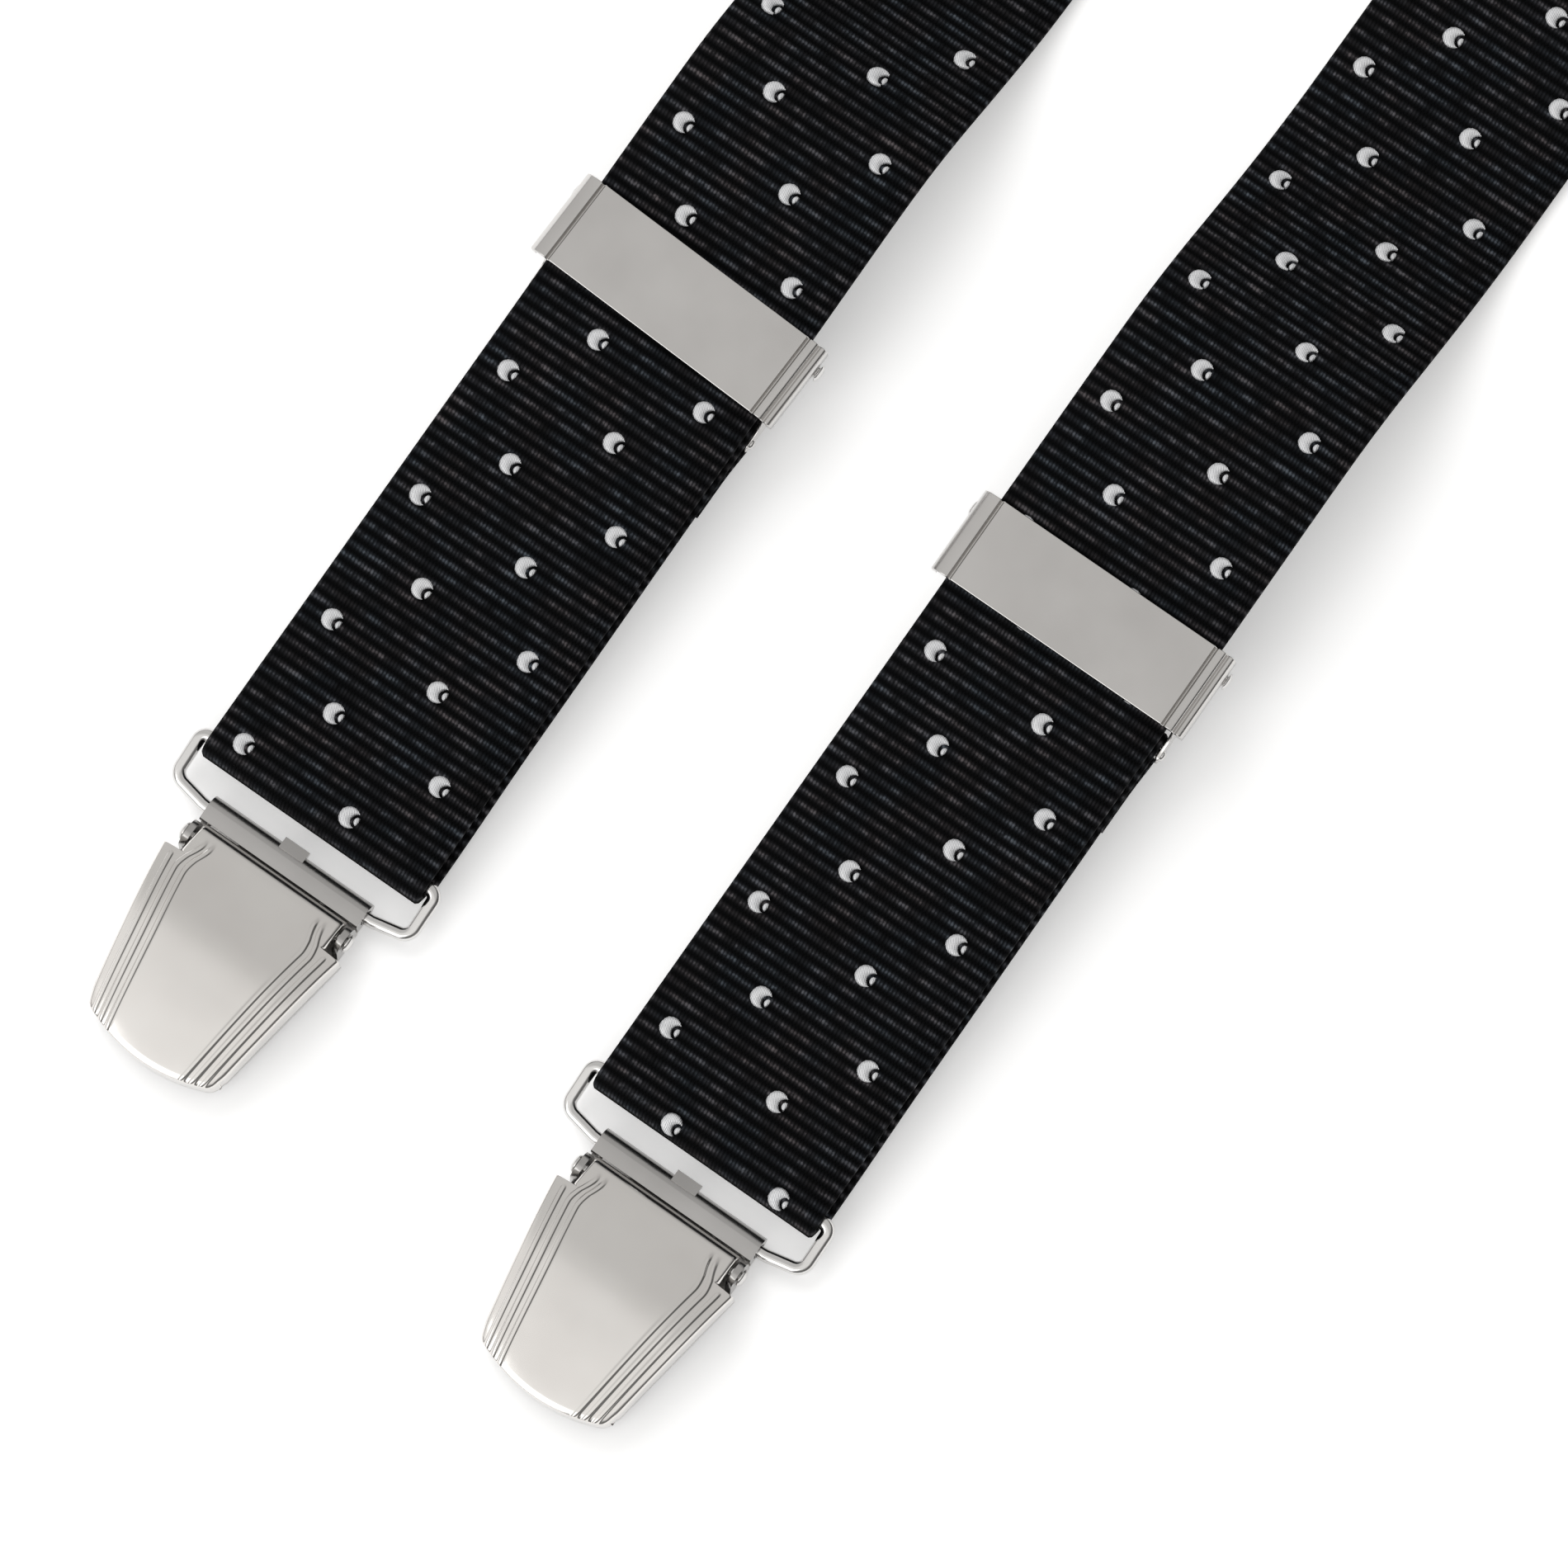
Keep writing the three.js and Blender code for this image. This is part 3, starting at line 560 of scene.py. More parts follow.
def rear_run():
    """Out of the patch, along the table, round the rear wire and folded under."""
    bar_y = REAR_TURN_Y - BAR_Y
    rise = [
        (REAR_START_Y, PATCH_Z, 0), (REAR_START_Y + REAR_HELD, PATCH_Z, 0),
        (REAR_START_Y + REAR_DOWN, LYING_Z, 0), (bar_y - REAR_LIFTS, LYING_Z, 0),
        (bar_y - 20, BAR_Z + TURN_R - 0.35, 0.03), (bar_y, BAR_Z + TURN_R, 0)]
    line = [(0.0, y, curve(rise, y)) for y in np.arange(REAR_START_Y, bar_y - 0.5, 1.5)]
    line += turn_points(0.0, bar_y, BAR_Z, 90, -90)
    for y in np.arange(0.8, REAR_FOLD, 0.8):
        blend = smoothstep(y, 0, FOLD_EASE)
        closing = max(curve(rise, bar_y - y) - WEB_THICK - 0.35, LYING_Z)
        line.append((0.0, bar_y - y, (BAR_Z - TURN_R) * (1 - blend) + closing * blend))
    return line, [(1.0, 0.0, 0.0)] * len(line)


for key, side in SIDES.items():
    crest_z = strap_height(side, side["crest"])
    print(f"{key} strap: the wave's crest is {crest_z:.1f} mm above the table")

# %% [markdown]
# ## A ribbon of webbing
# The ribbon is a closed tube with a flat oval section, with a row of points every
# sixth of a rib.  Each point remembers how far along the strap it is and which way is
# out, so that the ribs can be raised later, and the map holds across and along in
# metres for the finish.

# %% Ribbon
RIB_PITCH = 9.92 / 6
ROWS_PER_RIB = 6
RIB_HEIGHT = 0.26
DIRECTION_REACH = 0.15
BODY_HALF = WEB_THICK / 2 - RIB_HEIGHT
EDGE = WEB_WIDTH / 2 - 0.1

face_x = np.linspace(-EDGE + 0.45, EDGE - 0.45, 9)
ring = [(x, BODY_HALF, 0.0, 1.0) for x in face_x]
ring += [(EDGE - 0.12, BODY_HALF * 0.62, 0.04, 0.6), (EDGE, 0.0, 0.05, 0.0),
         (EDGE - 0.12, -BODY_HALF * 0.62, 0.04, -0.6)]
ring += [(x, -BODY_HALF, 0.0, -1.0) for x in face_x[::-1]]
ring += [(-EDGE + 0.12, -BODY_HALF * 0.62, -0.04, -0.6), (-EDGE, 0.0, -0.05, 0.0),
         (-EDGE + 0.12, BODY_HALF * 0.62, -0.04, 0.6)]
RING = np.array(ring)


class Run:
    """A strap's run, sampled evenly along its length, moved onto the table's origin."""

    def __init__(self, line, sideways):
        line = np.array(line) + (0.0, SHIFT_Y, 0.0)
        steps = np.linalg.norm(np.diff(line, axis=0), axis=1)
        measured = np.concatenate([[0.0], np.cumsum(steps)])
        self.length = measured[-1]
        self.line, self.sideways, self.measured = line, np.array(sideways), measured

    def at(self, along):
        """Middle, across, forward and up at distances along the strap."""
        along = np.atleast_1d(along).astype(float)
        pick = lambda table, s: np.stack(
            [np.interp(s, self.measured, table[:, k]) for k in range(3)], 1)
        low = np.clip(along - DIRECTION_REACH, 0, self.length - 2 * DIRECTION_REACH)
        forward = pick(self.line, low + 2 * DIRECTION_REACH) - pick(self.line, low)
        forward /= np.linalg.norm(forward, axis=1)[:, None]
        up = np.cross(pick(self.sideways, along), forward)
        up /= np.linalg.norm(up, axis=1)[:, None]
        return pick(self.line, along), np.cross(forward, up), forward, up


def ribbon(name, run):
    rows = int(run.length / (RIB_PITCH / ROWS_PER_RIB))
    along = np.arange(rows + 1) * RIB_PITCH / ROWS_PER_RIB
    middle, across, _, up = run.at(along)
    points = (middle[:, None] + across[:, None] * RING[None, :, 0, None]
              + up[:, None] * RING[None, :, 1, None]).reshape(-1, 3)
    out = (across[:, None] * RING[None, :, 2, None]
           + up[:, None] * RING[None, :, 3, None]).reshape(-1, 3)
    n = len(RING)
    first = (np.arange(rows)[:, None] * n + np.arange(n)[None]).ravel()
    nextp = (np.arange(rows)[:, None] * n + (np.arange(n)[None] + 1) % n).ravel()
    faces = np.stack([first, nextp, nextp + n, first + n], 1).tolist()
    faces += [list(range(n))[::-1], [rows * n + k for k in range(n)]]
    flat = np.stack([np.tile(RING[:, 0] + WEB_WIDTH / 2, rows + 1), np.repeat(along, n)], 1)
    piece = mesh_piece(name, points, faces, flat)
    mesh = piece.data
    mesh.attributes.new("along", "FLOAT", "POINT").data.foreach_set(
        "value", np.repeat(along, n) * MM)
    mesh.attributes.new("out", "FLOAT_VECTOR", "POINT").data.foreach_set("vector", out.ravel())
    return outward(piece)


# %% [markdown]
# ## Geometry Nodes: the ribs and what is set on the webbing
# Two small trees do all the repeating work.  The first raises a round rib at every
# pitch.  The second sets a copy of a small shape on each point of a list, turned by
# the point's own directions: the woven dots and every stitch are made with it.

# %% Tree helper
def repeat_tree(name, inputs):
    """A geometry tree with named inputs; returns it and its inputs as signals."""
    tree = bpy.data.node_groups.new(name, "GeometryNodeTree")
    tree.interface.new_socket("Geometry", in_out="OUTPUT", socket_type="NodeSocketGeometry")
    for label, kind in [("Geometry", "NodeSocketGeometry"), *inputs]:
        tree.interface.new_socket(label, in_out="INPUT", socket_type=kind)
    nodes = Nodes(tree)
    source = tree.nodes.new("NodeGroupInput")
    return nodes, {s.name: Signal(nodes, s) for s in source.outputs if s.name}


def close_tree(nodes, geometry, material):
    real = nodes.node("GeometryNodeRealizeInstances", None, {0: geometry})
    done = nodes.node(
        "GeometryNodeSetMaterial", None, {"Geometry": real, "Material": material})
    nodes.tree.links.new(done.socket, nodes.tree.nodes.new("NodeGroupOutput").inputs[0])
    return nodes.tree


def use_tree(piece, tree, **values):
    """Runs a tree on a piece with its inputs set by identifier, and settles it."""
    modifier = piece.modifiers.new(tree.name, "NODES")
    modifier.node_group = tree
    for item in tree.interface.items_tree:
        if item.in_out == "INPUT" and item.name.replace(" ", "_") in values:
            modifier[item.identifier] = values[item.name.replace(" ", "_")]
    return settle(piece)


def attribute(nodes, name, kind="FLOAT"):
    return nodes.node("GeometryNodeInputNamedAttribute", {"data_type": kind}, {"Name": name})


# %% Ribs
RIB_FULLNESS = 0.8

nodes, given = repeat_tree("ribs", [
    ("Pitch", "NodeSocketFloat"), ("Height", "NodeSocketFloat"),
    ("Finish", "NodeSocketMaterial")])
phase = attribute(nodes, "along") / given["Pitch"] * math.pi
raised = abs(phase.sine()) ** RIB_FULLNESS * given["Height"]
push = nodes.node("ShaderNodeVectorMath", {"operation": "SCALE"},
                  {0: attribute(nodes, "out", "FLOAT_VECTOR"), "Scale": raised})
ribbed = nodes.node(
    "GeometryNodeSetPosition", None, {"Geometry": given["Geometry"], "Offset": push})
RIBS = close_tree(nodes, ribbed, given["Finish"])

# %% Shapes on points
nodes, given = repeat_tree("shapes on points", [
    ("Shape", "NodeSocketObject"), ("Finish", "NodeSocketMaterial")])
shape = nodes.node("GeometryNodeObjectInfo", None, {"Object": given["Shape"]}, "Geometry")
turned = nodes.node(
    "FunctionNodeAxesToRotation", {"primary_axis": "Z", "secondary_axis": "Y"},
    {"Primary Axis": attribute(nodes, "face", "FLOAT_VECTOR"),
     "Secondary Axis": attribute(nodes, "run", "FLOAT_VECTOR")})
placed = nodes.node("GeometryNodeInstanceOnPoints", None, {
    "Points": given["Geometry"], "Instance": shape, "Rotation": turned})
ON_POINTS = close_tree(nodes, placed, given["Finish"])


def set_on(name, shape, places, face, run, finish):
    """Copies of a shape at places in millimetres, its z along face and its y along run."""
    piece = mesh_piece(name, places, [])
    for label, vectors in (("face", face), ("run", run)):
        made = piece.data.attributes.new(label, "FLOAT_VECTOR", "POINT")
        made.data.foreach_set("vector", np.asarray(vectors, float).ravel())
    return use_tree(piece, ON_POINTS, Shape=shape, Finish=finish.material)


# %% [markdown]
# ## Finish of the webbing
# The webbing is black polyester and rubber.  Its ribs are bundles of yarn, so the
# finish is nearly black, with the fine slanted lines of the yarn and a soft sheen.  The
# top of each rib is painted a little lighter and bluer: a painted highlight.

# %% Webbing finish
# How narrow the painted highlight along the top of each rib is.
RIB_HIGHLIGHT_SHARPNESS = 3.4
YARN_PITCH = 0.5
YARN_STEP = 1.57
YARN_SLANT = 1.1

webbing = Finish("black ribbed webbing", Roughness=0.62, Specular_IOR_Level=0.10)
across, along = webbing.flat()
rib_phase = along / (RIB_PITCH * MM)
# The top of each rib is painted lighter: a painted highlight along every rib, broken up by the
# yarn and the noise.
crest = abs((rib_phase * math.pi).sine()) ** RIB_HIGHLIGHT_SHARPNESS
row = rib_phase.floor()
yarn_phase = across / (YARN_PITCH * MM) * math.pi + row * YARN_STEP + rib_phase * YARN_SLANT
yarn = abs(yarn_phase.sine())
down_the_rib = webbing.node("ShaderNodeCombineXYZ", None, {0: across * 330.0, 1: row * 5.7})
strand = webbing.noise(down_the_rib, 1.0, 3.0, 0.6)
cloud = webbing.noise(webbing.place(), 1500.0, 3.0, 0.6)
tone = crest * (yarn * 0.35 + 0.5) * (cloud * 1.6 - 0.1) * (strand * 3.4 - 0.75)
tint = webbing.colours(
    webbing.noise(webbing.place(), 170.0, 2.0),
    (0.35, (0.86, 1.0, 1.08)), (0.65, (1.13, 0.99, 0.94)))
# From black in the grooves up to the painted highlight on the rib tops.
yarn_colours_and_highlight = webbing.colours(
    tone, (0.0, (0.0006, 0.0007, 0.0010)), (0.4, (0.012, 0.0125, 0.0145)),
    (1.0, (0.088, 0.089, 0.098)))
webbing.feed(
    Base_Color=webbing.node("ShaderNodeMix", {"data_type": "RGBA", "blend_type": "MULTIPLY"},
                            {0: 1.0, 6: yarn_colours_and_highlight, 7: tint}, output=2),
    Roughness=webbing.between(0.85, 0.5, crest * yarn),
    Normal=webbing.bump(yarn * 0.7 + cloud * 0.6, 0.00018, 0.9))

# %% [markdown]
# The dots are woven in white-silver thread: each is a small raised disc of satin
# floats that run along the strap, so it has fine lines and a soft metallic gloss.

# %% Silver thread and black thread
FLOAT_PITCH = 0.2

silver = Finish("silver thread", Metallic=0.35, Roughness=0.36, Specular_IOR_Level=0.6)
across, along = silver.flat()
strand = abs((across / (FLOAT_PITCH * MM) * math.pi).sine())
uneven = silver.noise(silver.place(), 1400.0, 2.0)
silver.feed(
    Base_Color=silver.colours(
        strand * 0.6 + uneven * 0.4, (0.1, (0.36, 0.37, 0.39)), (0.5, (0.70, 0.71, 0.73)),
        (0.9, (0.90, 0.90, 0.91))),
    Roughness=silver.between(0.5, 0.28, strand),
    Normal=silver.bump(strand * 0.6 + uneven * 0.7, 0.00009, 0.7))

thread = Finish("black thread", Roughness=0.5, Specular_IOR_Level=0.35)
twist = abs((thread.noise(thread.place(), 2200.0, 2.0) * 9.0).sine())
thread.feed(
    Base_Color=thread.colours(twist, (0.0, (0.004, 0.004, 0.005)), (1.0, (0.03, 0.031, 0.035))),
    Normal=thread.bump(twist, 0.00008, 0.6))

# %% [markdown]
# ## A woven dot
# Seen close, a dot is not a full disc: a dark slit curves in from its right side and
# leaves a small lens of thread beyond it.  The disc is a strip between its round edge
# and the slit, swelling in the middle, and the lens is a low dome that completes the
# round.  Both are closed underneath, so that the strap stays one sealed surface.

# %% Dot shape
DOT_R = 1.5
SLIT_AT = np.array([1.35, -0.55])
SLIT_R = 1.01
LENS_R = 0.75
DOT_FOOT = -0.18
DOT_SECTION = [(0.0, -0.2), (0.1, 0.16), (0.4, 0.5), (0.84, 0.34), (1.0, DOT_FOOT)]
LENS_TOP = 0.3
LENS_SHARE = 0.66


def on_circle(centre, radius, start, end, count):
    t = np.radians(np.linspace(start, end, count))
    return np.array(centre) + radius * np.stack([np.cos(t), np.sin(t)], 1)


def dot_shape():
    outer = on_circle((0, 0), DOT_R, 17.2, 298.4, 13)
    inner = on_circle(SLIT_AT, SLIT_R, 85, 230, 13)
    points, faces, n, strips = [], [], len(outer), len(DOT_SECTION)
    for share, lift in DOT_SECTION:
        points += [(*(a + (b - a) * share), lift) for a, b in zip(outer, inner)]
    for i in range(strips):
        for j in range(n - 1):
            a, b = i * n + j, ((i + 1) % strips) * n + j
            faces.append((a, a + 1, b + 1, b))
    faces += [tuple(i * n + end for i in range(strips)) for end in (0, n - 1)]
    rim = [*on_circle((0, 0), DOT_R, -50, 2, 5), *on_circle(SLIT_AT, LENS_R, 108, 228, 6)]
    base, count = len(points), len(rim)
    points += [(x, y, DOT_FOOT) for x, y in rim]
    middle = np.mean(rim, 0)
    points += [(*(middle + (np.array(p) - middle) * LENS_SHARE), LENS_TOP) for p in rim]
    for k in range(count):
        a, b = base + k, base + (k + 1) % count
        faces.append((a, b, b + count, a + count))
    faces += [tuple(range(base, base + count)), tuple(range(base + count, base + 2 * count))]
    return smooth(outward(mesh_piece("dot shape", points, faces, [p[:2] for p in points])))


DOT = dot_shape()
print("a dot has", len(DOT.data.polygons), "faces")

# %% [markdown]
# A stitch is a short length of thread that dips into the cloth at both ends.

# %% Stitch shape
STITCH_LENGTH = 2.3
STITCH_R = 0.24
STITCH_RINGS = 5
STITCH_SIDES = 6


def stitch_shape():
    points = []
    for share in np.linspace(-1, 1, STITCH_RINGS):
        lift = 0.16 * (1 - share**2) - 0.12
        radius = STITCH_R * (1 - 0.45 * share**4)
        for t in np.linspace(0, 2 * math.pi, STITCH_SIDES, endpoint=False):
            points.append((radius * math.cos(t), share * STITCH_LENGTH / 2,
                           lift + radius * math.sin(t) * 0.8))
    faces = ring_faces(STITCH_RINGS, STITCH_SIDES)
    return smooth(outward(mesh_piece("stitch shape", points, faces, [p[:2] for p in points])))


STITCH = stitch_shape()
print("a stitch has", len(STITCH.data.polygons), "faces")

# %% [markdown]
# ## The straps
# Dots sit in rows of two, every six ribs, and each row is set over by a little less
# than half a gap from the one before.  The two front straps were cut at different
# rows, so the pattern starts at a different place on each.

# %% Dots along a strap
ROW_PITCH = 6 * RIB_PITCH
DOT_GAP = 16.88
DOT_LEFT = {"A": -13.02, "B": -5.67}
SLIT_TURN = math.radians(19)
SLIT_SPREAD = math.radians(9)
woven_by_hand = np.random.default_rng(7)
TOP_LIFT = WEB_THICK / 2 - 0.05


def dots(name, run, first, first_kind, start, end, face=1):
    """Rows of two dots between two distances along a strap, on its face side."""
    places, faces, runs = [], [], []
    kinds = "AB" if first_kind == "A" else "BA"
    low = math.ceil((start - first) / ROW_PITCH)
    high = math.floor((end - first) / ROW_PITCH)
    for index in range(low, high + 1):
        middle, across, forward, up = (v[0] for v in run.at(first + index * ROW_PITCH))
        left = DOT_LEFT[kinds[index % 2]]
        for x in (left, left + DOT_GAP):
            places.append(middle + across * x + up * face * TOP_LIFT)
            faces.append(up * face)
            turn = SLIT_TURN + SLIT_SPREAD * woven_by_hand.uniform(-1, 1)
            runs.append(forward * math.cos(turn) - across * face * math.sin(turn))
    return set_on(name, DOT, places, faces, runs, silver)


SEAM_HALF = 15.6
SEAM_PITCH = STITCH_LENGTH + 0.5


def sewn_row(name, run, along):
    """Stitches across a strap at one distance along it."""
    middle, across, _, up = (v[0] for v in run.at(along))
    count = int(2 * SEAM_HALF / SEAM_PITCH)
    xs = (np.arange(count) - (count - 1) / 2) * SEAM_PITCH
    places = [middle + across * x + up * WEB_THICK / 2 for x in xs]
    return set_on(name, STITCH, places, [up] * count, [across] * count, thread)


def web_strap(name, run):
    """A ribbon along a run, with its ribs raised."""
    return smooth(use_tree(ribbon(name, run), RIBS, Pitch=RIB_PITCH * MM,
                           Height=RIB_HEIGHT * MM, Finish=webbing.material))


# %% Front straps
FIRST_DOT = {"left": 7.73, "right": 15.4}

for key, side in SIDES.items():
    run = Run(*front_run(side))
    strap = web_strap(f"strap_{key}", run)
    join(strap, dots(f"dots {key}", run, FIRST_DOT[key], "A", 3.5, run.length - 6))
    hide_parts(f"strap_{key}_main")
    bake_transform(strap)
    print(f"{key} strap: {run.length:.0f} mm long, {len(strap.data.polygons)} faces")

# %% [markdown]
# The lower layer of each front strap is the same webbing coming back from the wire to
# the adjuster's bar.  It slides with the adjuster at its upper end and with the clip
# at its lower end, but here it is made as one fixed piece.

# %% Lower layers
ABOVE_WIRE = 8
BELOW_BAR = 14.5

for key, side in SIDES.items():
    run = Run(*lower_run(side))
    bar_y = adjuster_point(side, *ADJ_BAR)[1]
    strap = web_strap(f"strap_{key}_lower", run)
    to_bar = bar_y - side["y"] - BAR_Y
    join(strap,
         dots(f"lower dots {key}", run, 3.0, "B", 4.0, to_bar - 3, -1),
         sewn_row(f"tab seam {key}", run, run.length - 3.0),
         sewn_row(f"tab second seam {key}", run, run.length - 7.0))
    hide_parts(f"strap_{key}_return")
    low_y, high_y = SHIFT_Y + side["y"] + ABOVE_WIRE, SHIFT_Y + bar_y - BELOW_BAR
    low_y * MM
    high_y * MM
    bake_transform(strap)
    print(f"{key} lower layer: {run.length:.0f} mm long")

# %% [markdown]
# The rear strap is sewn into the patch at one end.  At the other it turns round the
# rear wire and is sewn down on itself with two rows of stitches.

# %% Rear strap
HALF_TURN = math.pi * TURN_R

run = Run(*rear_run())
strap = web_strap("strap_back", run)
turn_start = run.length - REAR_FOLD - HALF_TURN
join(strap,
     dots("back dots", run, 6.0, "A", 3.0, run.length - 3),
     sewn_row("back seam", run, turn_start - 8),
     sewn_row("back second seam", run, turn_start - 32))
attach(strap, "webbing")
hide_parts("strap_rear")
print(f"rear strap: {run.length:.0f} mm long, {len(strap.data.polygons)} faces")

# %% [markdown]
# ## The leather patch
# Two layers of black leather hold the three straps where they meet.  They are cut to a
# soft Y, their edges are rounded and dyed, and one row of stitches runs all round just
# inside the edge.

# %% Leather
leather = Finish("black leather", Roughness=0.5, Specular_IOR_Level=0.4)
place = leather.place()
cells = leather.node("ShaderNodeTexVoronoi", {"feature": "DISTANCE_TO_EDGE"},
                     {"Vector": place, "Scale": 900.0, "Randomness": 0.9})
crease = leather.node("ShaderNodeMapRange", None,
                      {"Value": cells, "From Min": 0.0, "From Max": 0.25})
broad = leather.noise(place, 45.0, 3.0)
fine = leather.noise(place, 1600.0, 2.0)
leather.feed(
    Base_Color=leather.colours(
        crease * 0.5 + broad * 0.5,
        (0.0, (0.004, 0.0035, 0.003)), (1.0, (0.022, 0.019, 0.017))),
    Roughness=leather.between(0.62, 0.4, crease * broad),
    Normal=leather.bump(crease * 0.8 + fine * 0.25 + broad * 0.5, 0.00022, 0.8))


# %% Patch outline and its stitches
BEND_STEPS = 6
PATCH_STITCH_GAP = 0.55


def bend_to(start, control, end):
    t = np.linspace(0, 1, BEND_STEPS + 1)[1:, None]
    a, b, c = (np.array(p, float) for p in (start, control, end))
    return ((1 - t) ** 2 * a + 2 * t * (1 - t) * b + t * t * c).tolist()


def patch_outline():
    half = [(0, 706)]
    half += bend_to((0, 706), (3, 705), (5, 699)) + [(7, 690)]
    half += bend_to((7, 690), (8, 686.5), (12, 687)) + [(43, 693.5)]
    half += bend_to((43, 693.5), (48, 694.5), (47.4, 699)) + [(45.5, 708)]
    half += bend_to((45.5, 708), (41, 727), (29, 741))
    half += bend_to((29, 741), (22.5, 749), (22, 762)) + [(22, 770)]
    half += bend_to((22, 770), (22, 775), (17, 775)) + [(0, 775)]
    return np.array(half + [(-x, y) for x, y in half[1:-1][::-1]])


def inset(outline, by):
    """The closed outline moved inwards, as points one stitch apart and their ways."""
    ahead = np.roll(outline, -1, 0) - outline
    behind = outline - np.roll(outline, 1, 0)
    unit = lambda v: v / np.linalg.norm(v, axis=1)[:, None]
    way = unit(unit(ahead) + unit(behind))
    inner = outline + np.stack([-way[:, 1], way[:, 0]], 1) * by
    closed = np.vstack([inner, inner[:1]])
    measured = np.concatenate([[0], np.cumsum(np.linalg.norm(np.diff(closed, axis=0), axis=1))])
    count = round(measured[-1] / (STITCH_LENGTH + PATCH_STITCH_GAP))
    at = np.arange(count) * measured[-1] / count
    pick = lambda s: np.stack(
        [np.interp(s % measured[-1], measured, closed[:, k]) for k in (0, 1)], 1)
    return pick(at), unit(pick(at + 1.0) - pick(at - 1.0))


outline = patch_outline()
twice_area = np.sum(outline[:, 0] * np.roll(outline[:, 1], -1)
                    - outline[:, 1] * np.roll(outline[:, 0], -1))

# %% Patch layers
SEAM_IN = 2.6
PATCH_ROUND = 0.38
PATCH_STITCH_SUNK = 0.02

for name, node in (("patch_face", "patch_top"), ("patch_back", "patch_under")):
    patch = paint(rounded_copy(node, name, PATCH_ROUND, 3), leather)
    if node == "patch_top":
        seam_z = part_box(node)[1].z / MM - PATCH_STITCH_SUNK
        spots, ways = inset(outline, math.copysign(SEAM_IN, twice_area))
        places = [(x, y + SHIFT_Y, seam_z) for x, y in spots]
        join(patch, set_on("patch seam", STITCH, places, [(0, 0, 1)] * len(places),
                           [(x, y, 0) for x, y in ways], thread))
        print("the patch has", len(places), "stitches")
    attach(patch, "webbing")
    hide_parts(node)

# %% [markdown]
# ## Polished metal
# The clips and slides are pressed steel, nickel plated and polished.  The covers have
# the warmest and cleanest polish, the slides and jaws are greyer, the plates darker and
# the wire is bright.  Fine scratches and a slow change of tone keep each from looking
# like a mirror.

# %% Metal finishes
def polished(name, dark, light, smoothest, roughest, drag=(1.0, 1.0, 1.0)):
    metal = Finish(name, Metallic=1.0)
    stretched = metal.node("ShaderNodeMapping", None, {"Vector": metal.place(), "Scale": drag})
    slow = metal.noise(metal.place(), 90.0, 3.0)
    scratch = metal.noise(stretched, 2600.0, 3.0, 0.65)
    metal.feed(
        Base_Color=metal.colours(slow, (0.25, dark), (0.75, light)),
        Roughness=metal.between(smoothest, roughest, slow * 0.5 + scratch * 0.5),
        Normal=metal.bump(scratch * 0.5 + slow, 0.000008, 0.35))
    return metal


cover_metal = polished(
    "polished nickel cover", (0.74, 0.715, 0.69), (0.80, 0.78, 0.755), 0.10, 0.22, (1, 0.15, 1))
plate_metal = polished(
    "polished nickel plate", (0.60, 0.585, 0.57), (0.67, 0.655, 0.64), 0.14, 0.27, (0.2, 1, 1))
base_metal = polished(
    "polished steel base", (0.41, 0.40, 0.39), (0.49, 0.48, 0.47), 0.16, 0.3)
wire_metal = polished(
    "bright nickel wire", (0.66, 0.65, 0.64), (0.74, 0.73, 0.72), 0.10, 0.2)
print("four metals are made, from the darkest plate to the warmest cover")

rubber = Finish("grip rubber", Roughness=0.7, Specular_IOR_Level=0.3)
speck = rubber.noise(rubber.place(), 1800.0, 3.0)
rubber.feed(
    Base_Color=rubber.colours(
        speck, (0.2, (0.010, 0.010, 0.011)), (0.8, (0.026, 0.026, 0.028))),
    Roughness=rubber.between(0.6, 0.85, speck),
    Normal=rubber.bump(speck, 0.00006, 0.6))

# %% [markdown]
# ## The clip's wire loop
# One wire is bent into a flat loop.  The strap turns round its long bar, and its two
# ends meet inside the fold of the clip's plate.  A round section swept along the bent
# line gives it smooth corners.

# %% Wire loop
WIRE_R = 0.95
WIRE_HALF = 18.75
HINGE_Y, HINGE_Z = -4.9, 1.95
BASE_HALF = 12.6
WIRE_SIDES = 20
WIRE_FIT = 0.985
LOW_BEND = 1.8
HIGH_BEND = 1.25


def arc(cx, cy, radius, start, end, steps):
    angles = np.radians(np.linspace(start, end, steps + 1))
    return [(cx + radius * math.cos(a), cy + radius * math.sin(a)) for a in angles]


